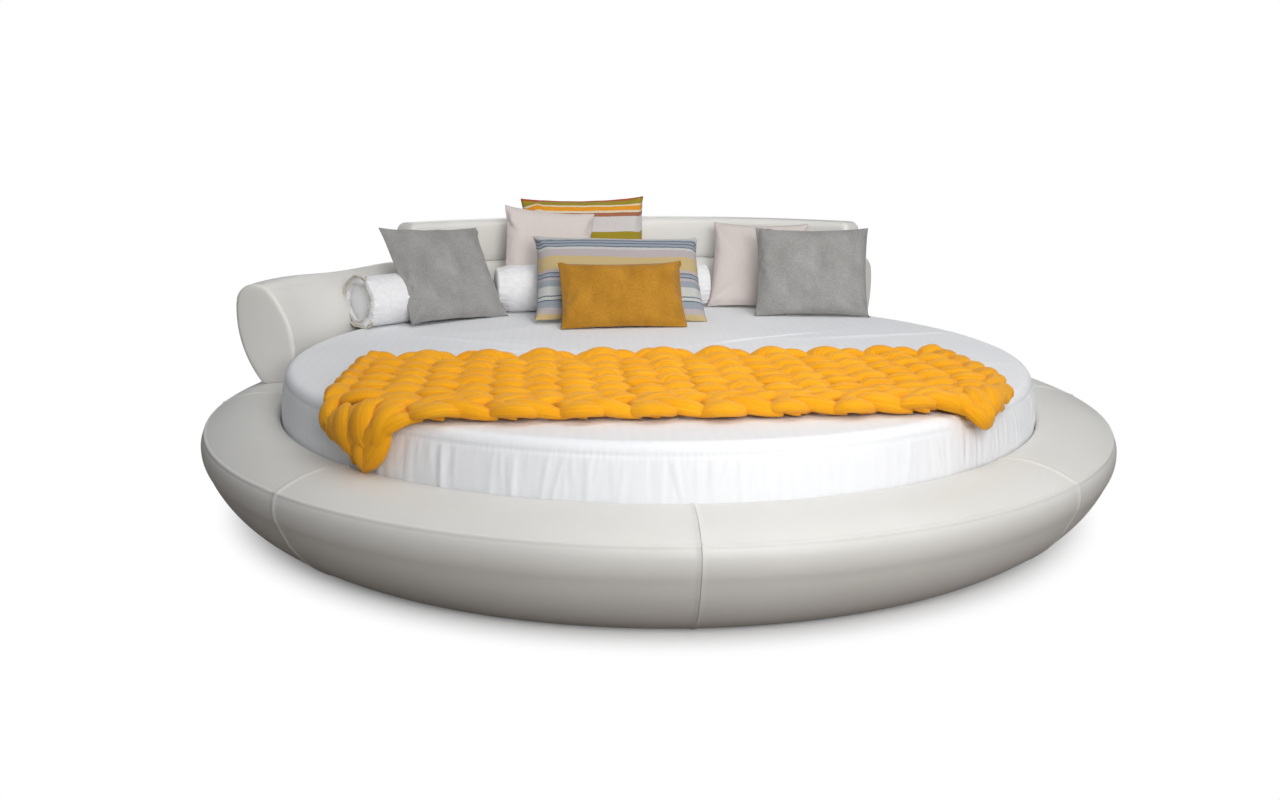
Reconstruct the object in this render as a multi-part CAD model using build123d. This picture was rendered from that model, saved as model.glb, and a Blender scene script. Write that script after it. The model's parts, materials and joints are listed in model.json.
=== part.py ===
from build123d import *
import math
import os

os.makedirs("parts", exist_ok=True)

# Round bed, in millimetres. The origin is on the floor at the centre of the ring,
# +Y points to the head end and +Z up. A compass angle is measured from the head,
# clockwise seen from above, in degrees.

# Shared clearances and shares
soft_gap = 0.3
fit_gap = 0.3
wall_gap = 1.2
module_gap = 1.0
overrun = 20.0
quarter_turn = 90.0
full_turn = 360.0
middle_share = 0.5

# Mattress and fitted sheet. A bow is how far an arc stands out from its chord.
mattress_r = 1097.0
mattress_h = 233.5
mattress_rest_gap = 0.5
tuck_h = 106.5
side_bow = 4.4
edge_in, edge_drop, edge_bow = 16.0, 17.0, 4.5
edge_top_in = 39.0
sheet_t = 2.7
sheet_hem_rise = 16.5

# Ring, outer shape of the upholstery
panel_count = 8
module_count = 4
well_gap = 11.0
ring_w = 200.0
glide_h = 6.0
foot_w = 44.0
flank_rise, flank_bow = 157.0, 21.1
turn_in = 11.0
brow_rise, brow_bow = 49.0, 4.0
shoulder_in, shoulder_rise, shoulder_bow = 9.0, 25.0, 1.9
lip_in, lip_rise, crown_bow = 14.0, 25.0, 14.95
lip_drop, lip_bow = 12.0, 4.2
side_pad = 20.0
seam_groove = 2.5

# Ring, timber inside
lip_pad = 12.0
skirt_h = 27.0
wall_t = 12.0
sole_t = 20.0
sole_reach = 30.0
foot_pad = 6.0
board_t = 15.0
top_pad = 40.0
board_setback = 42.0
rib_t = 15.0
ribs_per_module = 5
glide_r = 16.0
glides_per_module = 4

# Machine screws, size M8
bolt_r = 4.0
bolt_hole_r = 4.5
bolt_head_r = 7.5
bolt_head_h = 5.3
nut_h = 6.8
joint_bolt_shares = ((0.31, 0.26), (0.52, 0.64))

# Slat base
ledge_w = 28.0
ledge_h = 32.0
ledge_top_z = 112.0
ledge_end_angle = 3.4
rim_gap = 8.0
rim_w = 40.0
rim_h = 30.0
rail_w = 40.0
rail_gap = 6.0
slat_pitch = 130.0
slat_end_room = 130.0
slat_w = 70.0
slat_t = 8.0
cap_floor = 3.0
cap_lip = 2.0
cap_side = 4.0
cap_len = 36.0
beam_w = 90.0
beam_h = 46.0
beam_end_gap = 4.0
hanger_t = 3.0
hanger_seat = 80.0
leg_r = 25.0
leg_count = 3
leg_pitch = 600.0
leg_foot_rim = 4.0
leg_foot_h = 8.0

# Low padded roll round the head, with a leaf-shaped section
roll_setback = 41.0
roll_foot_w = 82.0
roll_foot_sink = 13.0
roll_h, roll_in_lean, roll_in_bow = 290.0, 41.0, 41.6
roll_w, roll_top_drop, roll_top_bow = 108.0, 27.0, 37.0
roll_out_bow = 28.2
roll_angles = (-83.0, -47.0, -2.0, 43.0)
roll_names = ("arm", "left", "right")
roll_plate_t = 18.0
roll_plate_inset = 11.0
roll_bolt_inset = 26.0
roll_bolt_inset_angle = 10.0
roll_bolt_head_room = 2.0
end_panel_t = 12.0
end_panel_inset = 7.0
end_panel_round = 5.0
piping_w = 8.0

# Raised headrest on the roll
headrest_start_angle, headrest_end_angle = -45.1, 41.1
headrest_front = 2.0
headrest_t = 102.0
headrest_h = 182.0
headrest_corner_round = 30.0
headrest_edge_round = 24.0
headrest_pad_t = 23.0
headrest_board_t = 18.0
headrest_board_gap = 2.8
headrest_board_drop = 22.0
headrest_board_inset_angle = 3.0
peg_r = 6.0
peg_wall = 4.0
peg_angles = (-35.0, -14.0, 10.0, 31.0)
peg_depth = 50.0

# Straight bolsters that lie in the angle between mattress and roll
bolster_r = 80.0
bolster_round = 30.0
bolster_gap = 2.8
bolster_names = ("bolster_left", "bolster_centre")
bolster_lengths = (496.0, 790.0)
bolster_compass_angles = (-49.9, -9.4)
# How far the middle of each bolster lies inside the place where both its ends touch the roll
bolster_setbacks = (0.0, 105.0)

# Scatter cushions: width, height and thickness of each kind
grey_w, grey_h, grey_t = 408.0, 352.0, 84.0
pink_w, pink_h, pink_t = 360.0, 352.0, 68.0
olive_w, olive_h, olive_t = 485.0, 410.0, 72.0
striped_w, striped_h, striped_t = 600.0, 360.0, 100.0
mustard_w, mustard_h, mustard_t = 430.0, 262.0, 85.0
cushion_names = ("grey_left", "grey_right", "pink_left", "pink_right", "olive", "striped", "mustard")
cushion_sizes = ((grey_w, grey_h, grey_t), (grey_w, grey_h, grey_t), (pink_w, pink_h, pink_t),
                 (pink_w, pink_h, pink_t), (olive_w, olive_h, olive_t),
                 (striped_w, striped_h, striped_t), (mustard_w, mustard_h, mustard_t))
cushion_compass_angles = (-49.0, 43.0, -19.7, 26.6, -10.9, -9.5, -11.3)
cushion_turn_angles = (46.0, -8.0, 11.5, -16.0, 11.0, 4.0, 4.0)
cushion_tilt_angles = (4.0, 0.0, 5.0, 0.0, 0.0, 1.5, 0.0)
cushion_lean_angles = (24.0, 28.0, 8.0, 20.0, 13.0, 42.0, 38.0)
# How far each cushion's foot line lies inside the mattress edge
cushion_setbacks = (268.0, 200.0, 90.0, 146.0, 33.0, 522.0, 673.5)
# How far a cushion's corners hang down past the mattress edge
cushion_sinks = (0.0, 0.0, 0.0, 0.0, 14.7, 0.0, 0.0)
waist_share = 0.03
cushion_level_shares = ((-0.5, 0.42), (-0.37, 0.8), (0, 1), (0.37, 0.8), (0.5, 0.42))

# Knitted throw across the foot end
throw_w, throw_d, throw_t = 1790.0, 720.0, 44.0
throw_x = 10.0
throw_front_inset = 195.0
throw_angle = 1.5
throw_back_corner_r, throw_left_corner_r, throw_right_corner_r = 70.0, 150.0, 300.0
throw_ribs = 20
throw_crown = 11.0
throw_round = 18.0
throw_hang_start_angles = (-146.0, 126.0)
throw_hang_end_angles = (-126.0, 145.0)
throw_hang_drops = (116.0, 42.0)


def arc_circle(start, end, bow):
    """Centre and radius of an arc that stands out from its chord on the right by bow."""
    across, up = end[0] - start[0], end[1] - start[1]
    chord = math.hypot(across, up)
    radius = (chord ** 2 / 4 + bow ** 2) / (2 * bow)
    centre = ((start[0] + end[0]) / 2 + up / chord * (bow - radius),
              (start[1] + end[1]) / 2 - across / chord * (bow - radius))
    return centre, radius


# Places in the section, as radius and height
foot_z = glide_h
sole_top_z = foot_z + sole_t
rim_top_z = ledge_top_z + rim_h
slat_z = rim_top_z + cap_floor
cap_top_z = slat_z + slat_t + cap_lip
mattress_z = cap_top_z + mattress_rest_gap
mattress_top_z = mattress_z + mattress_h
side_outer_r = mattress_r + soft_gap + sheet_t
bed_top_z = mattress_top_z + soft_gap + sheet_t
well_r = mattress_r + well_gap
foot = (well_r + foot_w, foot_z)
brow = (well_r + ring_w, foot_z + flank_rise + brow_rise)
turn = (brow[0] - turn_in, foot_z + flank_rise)
shoulder = (brow[0] - shoulder_in, brow[1] + shoulder_rise)
lip = (well_r + lip_in, shoulder[1] + lip_rise)
lip_low = (well_r, lip[1] - lip_drop)
crown_centre, crown_r = arc_circle(shoulder, lip, crown_bow)
crown_z = crown_centre[1] + crown_r

sole_in_r = well_r + lip_pad - sole_reach
sole_out_r = foot[0] - foot_pad
wall_in_r = well_r + lip_pad
wall_out_r = wall_in_r + wall_t
board_top_z = crown_z - top_pad
board_z = board_top_z - board_t
board_out_r = brow[0] - board_setback
skirt_z = board_z - skirt_h
rim_out_r = wall_in_r - rim_gap
rim_in_r = rim_out_r - rim_w
rim_mid_r = (rim_out_r + rim_in_r) / 2
slats_per_side = int((rim_mid_r - slat_w / 2 - slat_end_room) / slat_pitch)

roll_foot_z = crown_z + soft_gap
roll_foot_in = (well_r + roll_setback, crown_z - roll_foot_sink)
roll_foot_out = (roll_foot_in[0] + roll_foot_w, crown_z - roll_foot_sink)
roll_in_top = (roll_foot_in[0] + roll_in_lean, crown_z + roll_h)
roll_out_top = (roll_in_top[0] + roll_w, roll_in_top[1] - roll_top_drop)
roll_top_centre, roll_top_r = arc_circle(roll_out_top, roll_in_top, roll_top_bow)
roll_top_z = roll_top_centre[1] + roll_top_r
roll_plate_top_z = roll_foot_z + roll_plate_t
roll_plate_in_r = roll_foot_in[0] + roll_plate_inset
roll_bolt_r = roll_plate_in_r + roll_bolt_inset
headrest_in_r = roll_in_top[0] - headrest_front
headrest_out_r = headrest_in_r + headrest_t
headrest_low_z = roll_out_top[1]
headrest_top_z = headrest_low_z + headrest_h
headrest_board_in_r = headrest_in_r + headrest_pad_t
headrest_board_low_z = roll_top_z + headrest_board_gap
headrest_board_top_z = headrest_top_z - headrest_board_drop
peg_axis_r = headrest_board_in_r + headrest_board_t / 2
roll_plate_out_r = peg_axis_r + peg_r + peg_wall

# The bolsters lie against the roll's inner face
bolster_z = bed_top_z + soft_gap + bolster_r
roll_in_centre, roll_in_r = arc_circle(roll_in_top, roll_foot_in, roll_in_bow)
bolster_axis_r = roll_in_centre[0] - math.sqrt(
    (roll_in_r + bolster_r + bolster_gap) ** 2 - (bolster_z - roll_in_centre[1]) ** 2)
throw_y = throw_front_inset + throw_d / 2 - side_outer_r
throw_low_z = bed_top_z + soft_gap


def block(low, high):
    """A box between two corners."""
    sides = [b - a for a, b in zip(low, high)]
    middle = [(a + b) / 2 for a, b in zip(low, high)]
    return Pos(*middle) * Box(*sides)


def patch(low, high):
    """A flat rectangle between two corners."""
    sides = [b - a for a, b in zip(low, high)]
    middle = [(a + b) / 2 for a, b in zip(low, high)]
    return Pos(*middle) * Rectangle(*sides)


def outline(*edges):
    """A face bounded by the given edges."""
    return make_face(edges)


def bowed(start, end, bow):
    """An arc that stands out from its chord on the right by bow."""
    across, up = end[0] - start[0], end[1] - start[1]
    chord = math.hypot(across, up)
    middle = ((start[0] + end[0]) / 2 + up / chord * bow, (start[1] + end[1]) / 2 - across / chord * bow)
    return ThreePointArc(start, middle, end)


def sweep_round(section, from_angle, to_angle):
    """Turn a section of radius and height about the bed's axis, between two compass angles."""
    turned = revolve(Plane.XZ * section, Axis.Z, to_angle - from_angle)
    return Rot(0, 0, quarter_turn - to_angle) * turned


def at_angle(angle):
    """The place where +X points out of the bed at a compass angle."""
    return Rot(0, 0, quarter_turn - angle)


def save(shapes, name):
    """Write one sub-part."""
    solids = shapes if isinstance(shapes, list) else [shapes]
    solids = [one for shape in solids for one in shape.solids()]
    whole = solids[0] if len(solids) == 1 else Compound(children=solids)
    whole.label = name
    export_step(whole, "parts/" + name + ".step")


# Ring

def ring_section():
    """The whole section of the ring, padding and hollow together."""
    return outline(
        bowed(foot, turn, flank_bow),
        bowed(turn, brow, brow_bow),
        bowed(brow, shoulder, shoulder_bow),
        bowed(shoulder, lip, crown_bow),
        bowed(lip, lip_low, lip_bow),
        Line(lip_low, (well_r, foot_z)),
        Line((well_r, foot_z), foot),
    )


def ring_hollow():
    """The part of the section inside the padding."""
    inset = offset(ring_section(), -side_pad)
    main = inset & patch((wall_in_r, foot_z), (brow[0], board_top_z))
    behind_wall = patch((wall_in_r, skirt_z), (wall_out_r + side_pad, board_top_z))
    below = patch((well_r - overrun, foot_z - overrun), (sole_out_r, sole_top_z))
    inside = patch((well_r - overrun, foot_z - overrun), (wall_out_r, skirt_z))
    return main + behind_wall + below + inside


def ring_panel(number):
    """One upholstered panel, with a sunk seam round its shoulder."""
    share = full_turn / panel_count
    trim = math.degrees(module_gap / 2 / shoulder[0])
    groove = Pos(*shoulder) * RegularPolygon(seam_groove, 4)
    section = ring_section() - ring_hollow() - groove
    return sweep_round(section, number * share + trim, (number + 1) * share - trim)


def ring_quarter(section, number):
    """One of four equal lengths of a timber ring, between two module joints."""
    share = full_turn / module_count
    start = number * share - share / 2
    trim = math.degrees(module_gap / 2 / well_r)
    return sweep_round(section, start + trim, start + share - trim)


def rib_face():
    """Plywood rib that gives the ring its flared side."""
    inside = offset(ring_section(), -side_pad - fit_gap)
    return inside & patch((wall_out_r, sole_top_z), (brow[0], board_z))


def rib():
    return extrude(Plane.XZ * rib_face(), rib_t / 2, both=True)


def plain_ribs():
    share = full_turn / module_count
    step = share / (ribs_per_module + 1)
    angles = [module * share - share / 2 + step * (place + 1)
              for module in range(module_count) for place in range(ribs_per_module)]
    one = rib()
    return [at_angle(angle) * one for angle in angles]


def joint_angles():
    share = full_turn / module_count
    return [module * share - share / 2 for module in range(module_count)]


def joint_bolt_places():
    """Radius and height of the bolts in a module joint."""
    return [(well_r + out * ring_w, up * crown_z) for out, up in joint_bolt_shares]


def joint_ribs():
    """Pairs of drilled ribs, back to back where two ring modules meet."""
    one = rib()
    for place_r, place_z in joint_bolt_places():
        one -= Pos(place_r, 0, place_z) * Rot(quarter_turn, 0, 0) * Cylinder(bolt_hole_r, rib_t + overrun)
    shift = (rib_t + module_gap) / 2
    return [at_angle(angle) * Pos(0, side * shift, 0) * one
            for angle in joint_angles() for side in (-1, 1)]


def bolt(grip):
    """A bolt and its nut, along Z, with the head on top of a grip that ends at zero."""
    head = Pos(0, 0, grip + bolt_head_h / 2) * extrude(
        RegularPolygon(bolt_head_r, 6), bolt_head_h / 2, both=True)
    shank_len = grip + nut_h + bolt_r
    shank = Pos(0, 0, grip - shank_len / 2) * Cylinder(bolt_r, shank_len)
    nut = Pos(0, 0, -nut_h / 2) * extrude(RegularPolygon(bolt_head_r, 6), nut_h / 2, both=True)
    nut -= Cylinder(bolt_r, nut_h + overrun)
    return [head + shank, nut]


def joint_bolts():
    grip = 2 * rib_t + module_gap
    bolts = []
    for angle in joint_angles():
        for place_r, place_z in joint_bolt_places():
            place = at_angle(angle) * Pos(place_r, grip / 2, place_z) * Rot(quarter_turn, 0, 0)
            bolts += [place * piece for piece in bolt(grip)]
    return bolts


def ring_glides():
    share = full_turn / module_count
    step = share / glides_per_module
    middle_r = (sole_in_r + sole_out_r) / 2
    one = Pos(middle_r, 0, glide_h / 2) * Cylinder(glide_r, glide_h)
    return [at_angle(module * share + step * (place + middle_share)) * one
            for module in range(module_count) for place in range(glides_per_module)]


# Slat base

def slat_ledges():
    share = full_turn / panel_count
    section = patch((wall_in_r - ledge_w, ledge_top_z - ledge_h), (wall_in_r, ledge_top_z))
    return [sweep_round(section, number * share + ledge_end_angle, (number + 1) * share - ledge_end_angle)
            for number in range(panel_count)]


def slat_frame(side):
    """Half-round frame: a bent rim and a straight rail beside the centre beam."""
    ring = Circle(rim_out_r) - Circle(rim_in_r)
    rail = patch((rail_gap / 2, -rim_out_r), (rail_gap / 2 + rail_w, rim_out_r)) & Circle(rim_out_r)
    half = ring & patch((rail_gap / 2, -rim_out_r), (rim_out_r, rim_out_r))
    frame = extrude(half + rail, rim_h)
    frame = Pos(0, 0, ledge_top_z) * frame
    return frame if side > 0 else mirror(frame, about=Plane.YZ)


def slat_rows():
    """The place along Y and the far end along X of each slat."""
    rows = [number * slat_pitch for number in range(-slats_per_side, slats_per_side + 1)]
    return [(y, math.sqrt(rim_mid_r ** 2 - (abs(y) + slat_w / 2) ** 2)) for y in rows]


def slats(side):
    start = rail_gap / 2 + cap_side
    return [block((side * start, y - slat_w / 2, slat_z), (side * end, y + slat_w / 2, slat_z + slat_t))
            if side > 0 else
            block((side * end, y - slat_w / 2, slat_z), (side * start, y + slat_w / 2, slat_z + slat_t))
            for y, end in slat_rows()]


def slat_caps(side):
    """Moulded holders that grip both ends of every slat."""
    caps = []
    for y, end in slat_rows():
        start = rail_gap / 2 + cap_side
        for slat_end, outward in ((start, -1), (end, 1)):
            back = slat_end + outward * cap_side
            front = back - outward * cap_len
            low_x, high_x = sorted((back, front))
            half_w = slat_w / 2 + cap_side
            shell = block((low_x, y - half_w, rim_top_z), (high_x, y + half_w, cap_top_z))
            pocket_low, pocket_high = sorted((slat_end + outward * fit_gap, front - outward * overrun))
            pocket = block((pocket_low, y - slat_w / 2 - fit_gap, slat_z),
                           (pocket_high, y + slat_w / 2 + fit_gap, slat_z + slat_t + fit_gap))
            cap = shell - pocket
            caps.append(cap if side > 0 else mirror(cap, about=Plane.YZ))
    return caps


def centre_beam():
    reach = wall_in_r - wall_gap - hanger_t - beam_end_gap
    return block((-beam_w / 2, -reach, ledge_top_z - beam_h), (beam_w / 2, reach, ledge_top_z))


def beam_hangers():
    """Folded steel saddles that carry the beam's two ends on the inner wall."""
    seat_z = ledge_top_z - beam_h - fit_gap
    half = beam_w / 2 + fit_gap
    near, far = wall_in_r - hanger_seat, wall_in_r - wall_gap
    back = block((-half - hanger_t, far - hanger_t, seat_z - hanger_t), (half + hanger_t, far, ledge_top_z))
    seat = block((-half - hanger_t, near, seat_z - hanger_t), (half + hanger_t, far, seat_z))
    cheeks = [block((side, near, seat_z), (side + hanger_t, far, ledge_top_z))
              for side in (-half - hanger_t, half)]
    hanger = back + seat + cheeks[0] + cheeks[1]
    return [hanger, mirror(hanger, about=Plane.XZ)]


def leg_places():
    return [(number - (leg_count - 1) / 2) * leg_pitch for number in range(leg_count)]


def centre_legs():
    height = ledge_top_z - beam_h - leg_foot_h
    one = Pos(0, 0, leg_foot_h + height / 2) * Cylinder(leg_r, height)
    return [Pos(0, y, 0) * one for y in leg_places()]


def leg_feet():
    pad = Pos(0, 0, leg_foot_h / 2) * Cylinder(leg_r + leg_foot_rim, leg_foot_h)
    pad = chamfer(pad.edges().group_by(Axis.Z)[-1], leg_foot_rim)
    return [Pos(0, y, 0) * pad for y in leg_places()]


# Headboard

def roll_section():
    """Leaf-shaped section whose foot follows the ring's crown."""
    leaf = outline(
        bowed(roll_foot_out, roll_out_top, roll_out_bow),
        bowed(roll_out_top, roll_in_top, roll_top_bow),
        bowed(roll_in_top, roll_foot_in, roll_in_bow),
        Line(roll_foot_in, roll_foot_out),
    )
    return leaf - offset(ring_section(), soft_gap)


def roll_bolt_angles(number):
    start, end = roll_angles[number], roll_angles[number + 1]
    return (start + roll_bolt_inset_angle, end - roll_bolt_inset_angle)


def all_roll_bolt_angles():
    return [angle for number in range(len(roll_names)) for angle in roll_bolt_angles(number)]


def bolt_well(angle):
    """The hole for one roll bolt, with room for its head and nut."""
    shaft = Pos(roll_bolt_r, 0, (board_z + roll_foot_z) / 2) * Cylinder(
        bolt_hole_r, roll_foot_z - board_z + 2 * roll_plate_t + overrun)
    return at_angle(angle) * shaft


def roll_plate(number):
    trim = math.degrees(module_gap / 2 / roll_foot_in[0])
    section = patch((roll_plate_in_r, roll_foot_z), (roll_plate_out_r, roll_plate_top_z))
    plate = sweep_round(section, roll_angles[number] + trim, roll_angles[number + 1] - trim)
    for angle in roll_bolt_angles(number):
        plate -= bolt_well(angle)
    for angle in peg_angles:
        plate -= peg(angle)
    return plate


def peg(angle):
    """A steel peg from the roll's foot up into the headrest's board."""
    length = headrest_board_low_z + peg_depth - roll_foot_z
    return at_angle(angle) * Pos(peg_axis_r, 0, roll_foot_z + length / 2) * Cylinder(peg_r, length)


def roll_pad(number):
    """Padded roll of one module, over its plywood foot plate."""
    trim = math.degrees(module_gap / 2 / roll_foot_in[0])
    start, end = roll_angles[number] + trim, roll_angles[number + 1] - trim
    section = roll_section() - patch((roll_plate_in_r, roll_foot_z - overrun),
                                     (roll_plate_out_r, roll_plate_top_z))
    pad = sweep_round(section, start, end)
    head_room = bolt_head_h + roll_bolt_head_room
    for angle in roll_bolt_angles(number):
        pad -= at_angle(angle) * Pos(roll_bolt_r, 0, roll_plate_top_z + head_room / 2) * Cylinder(
            bolt_head_r + roll_bolt_head_room, head_room)
    for angle in peg_angles:
        if start < angle < end:
            pad -= peg(angle)
    return pad


def roll_bolts():
    grip = roll_plate_top_z - board_z
    bolts = []
    for angle in all_roll_bolt_angles():
        place = at_angle(angle) * Pos(roll_bolt_r, 0, board_z)
        bolts += [place * piece for piece in bolt(grip)]
    return bolts


def roll_end_panel(angle, direction):
    """Puffed end panel inside its piping."""
    face = offset(roll_section(), -end_panel_inset)
    flat = extrude(Plane.XZ * face, direction * end_panel_t)
    far = flat.faces().sort_by(Axis.Y)[0 if direction > 0 else -1]
    puffed = fillet(far.edges(), end_panel_round)
    return at_angle(angle) * puffed


def roll_piping(angle, direction):
    """Corded edge that finishes the roll's end."""
    outer = roll_section()
    inner = offset(roll_section(), -end_panel_inset + fit_gap)
    cord = extrude(Plane.XZ * (outer - inner), direction * piping_w)
    return at_angle(angle) * cord


def headrest_section():
    return patch((headrest_in_r, headrest_low_z), (headrest_out_r, headrest_top_z))


def headrest_board_angles():
    return headrest_start_angle + headrest_board_inset_angle, headrest_end_angle - headrest_board_inset_angle


def headrest_board():
    section = patch((headrest_board_in_r, headrest_board_low_z),
                    (headrest_board_in_r + headrest_board_t, headrest_board_top_z))
    board = sweep_round(section, *headrest_board_angles())
    for angle in peg_angles:
        board -= peg(angle)
    return board


def headrest_block():
    """Curved block with rounded upper corners and soft edges all round its two broad faces."""
    body = sweep_round(headrest_section(), headrest_start_angle, headrest_end_angle)
    ends = [face for face in body.faces().filter_by(GeomType.PLANE) if abs(face.normal_at().Z) < middle_share]
    body = fillet([face.edges().sort_by(Axis.Z)[-1] for face in ends], headrest_corner_round)
    broad = body.faces().filter_by(GeomType.CYLINDER).sort_by(SortBy.AREA)[-2:]
    edges = [edge for face in broad for edge in face.edges() if edge.center().Z > headrest_low_z + fit_gap]
    return fillet(edges, headrest_edge_round)


def headrest_pad():
    """Upholstered headrest, saddled over the top of the roll."""
    slot = sweep_round(patch((headrest_board_in_r, headrest_low_z - overrun),
                             (headrest_board_in_r + headrest_board_t, headrest_board_top_z)),
                       *headrest_board_angles())
    saddle = sweep_round(roll_section(), roll_angles[1] - roll_bolt_inset_angle,
                         roll_angles[-1] + roll_bolt_inset_angle)
    return headrest_block() - saddle - slot


def headrest_pegs():
    return [peg(angle) for angle in peg_angles]


# Bedding

def mattress_section():
    tuck = (mattress_r, mattress_z + tuck_h)
    edge = (mattress_r - edge_in, mattress_top_z - edge_drop)
    edge_top = (mattress_r - edge_top_in, mattress_top_z)
    return outline(
        Line((0, mattress_z), (mattress_r, mattress_z)),
        Line((mattress_r, mattress_z), tuck),
        bowed(tuck, edge, side_bow),
        bowed(edge, edge_top, edge_bow),
        Line(edge_top, (0, mattress_top_z)),
        Line((0, mattress_top_z), (0, mattress_z)),
    )


def mattress():
    return revolve(Plane.XZ * mattress_section(), Axis.Z, full_turn)


def fitted_sheet():
    """Stretched cover over the mattress, down to its elastic hem."""
    body = mattress_section()
    shell = offset(body, soft_gap + sheet_t) - offset(body, soft_gap)
    shell = shell & patch((0, mattress_z + sheet_hem_rise), (mattress_r + overrun, mattress_top_z + overrun))
    return revolve(Plane.XZ * shell, Axis.Z, full_turn)


def bolster(number):
    """Long round pillow, straight, with both ends towards the roll."""
    length = bolster_lengths[number]
    body = Rot(quarter_turn, 0, 0) * Cylinder(bolster_r, length)
    body = fillet(body.faces().filter_by(GeomType.PLANE).edges(), bolster_round)
    compass = bolster_compass_angles[number]
    middle_r = math.sqrt(bolster_axis_r ** 2 - length ** 2 / 4) - bolster_setbacks[number]
    return at_angle(compass) * Pos(middle_r, 0, bolster_z) * body


def cushion_outline(width, height, share):
    """Four drawn-in sides that meet in pointed corners."""
    half_w, half_h = width * share / 2, height * share / 2
    in_w, in_h = half_w - width * waist_share, half_h - height * waist_share
    corners = [(-half_w, -half_h), (half_w, -half_h), (half_w, half_h), (-half_w, half_h)]
    waists = [(0, -in_h), (in_w, 0), (0, in_h), (-in_w, 0)]
    return outline(*[ThreePointArc(corners[side], waists[side], corners[(side + 1) % 4])
                     for side in range(4)])


def cushion(number):
    """Crowned cushion that stands on its lower edge and leans back."""
    width, height, thick = cushion_sizes[number]
    sections = [Pos(0, 0, level * thick) * cushion_outline(width, height, share)
                for level, share in cushion_level_shares]
    body = Pos(0, 0, height / 2) * Rot(quarter_turn, 0, 0) * loft(sections)
    body = Rot(0, cushion_tilt_angles[number], 0) * body
    body = Rot(0, 0, cushion_turn_angles[number]) * Rot(-cushion_lean_angles[number], 0, 0) * body
    seat_z = bed_top_z + soft_gap - cushion_sinks[number]
    foot_r = side_outer_r - cushion_setbacks[number]
    compass = math.radians(cushion_compass_angles[number])
    lift = seat_z - body.bounding_box().min.Z
    return Pos(foot_r * math.sin(compass), foot_r * math.cos(compass), lift) * body


def throw_plan():
    """Outline of the throw laid flat, with its corners drawn in."""
    plan = Rectangle(throw_w, throw_d)
    for x_share, y_share, corner_r in ((-1, 1, throw_back_corner_r), (1, 1, throw_back_corner_r),
                                       (-1, -1, throw_left_corner_r), (1, -1, throw_right_corner_r)):
        corner = (x_share * throw_w / 2, y_share * throw_d / 2)
        plan = fillet(plan.vertices().sort_by_distance(corner)[0], corner_r)
    return Pos(throw_x, throw_y) * Rot(0, 0, throw_angle) * plan


def throw_ribbing():
    """The half-round ribs that the knit's columns make, from front to back."""
    pitch = throw_w / throw_ribs
    low, top = throw_low_z, throw_low_z + throw_t - throw_crown
    left, right = -throw_w / 2, throw_w / 2
    edges = [Line((left, top), (left, low)), Line((left, low), (right, low)), Line((right, low), (right, top))]
    for number in range(throw_ribs):
        start = right - number * pitch
        edges.append(bowed((start, top), (start - pitch, top), throw_crown))
    section = Plane.XZ * outline(*edges)
    return Pos(throw_x, throw_y) * Rot(0, 0, throw_angle) * extrude(section, throw_d / 2, both=True)


def hanging_corner(start, end, drop):
    """Rounded flap of the throw down the side of the mattress."""
    top = throw_low_z + throw_t - throw_crown
    edge_in_r = side_outer_r + soft_gap
    edge_out_r = edge_in_r + throw_t
    section = patch((edge_in_r, bed_top_z - drop), (edge_out_r, top))
    low_corner = section.vertices().sort_by_distance((edge_out_r, bed_top_z - drop))[0]
    flap = sweep_round(fillet(low_corner, throw_round), start, end)
    half_chord = edge_in_r * math.sin(math.radians(end - start) / 2)
    tongue = Plane.YZ * (Pos(0, top) * Ellipse(half_chord, top - bed_top_z + drop))
    return flap & (at_angle((start + end) / 2) * extrude(tongue, edge_out_r))


def throw():
    """Thick knitted throw in rounded ribs, with its two front corners over the mattress edge."""
    reach = side_outer_r + soft_gap + throw_t
    rim = patch((0, bed_top_z), (reach, bed_top_z + throw_t + overrun))
    rim_corner = rim.vertices().sort_by_distance((reach, bed_top_z + throw_t + overrun))[0]
    rim = revolve(Plane.XZ * fillet(rim_corner, throw_round + overrun), Axis.Z, full_turn)
    cloth = throw_ribbing() & extrude(throw_plan(), reach) & rim
    for start, end, drop in zip(throw_hang_start_angles, throw_hang_end_angles, throw_hang_drops):
        cloth += hanging_corner(start, end, drop)
    return cloth


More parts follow.
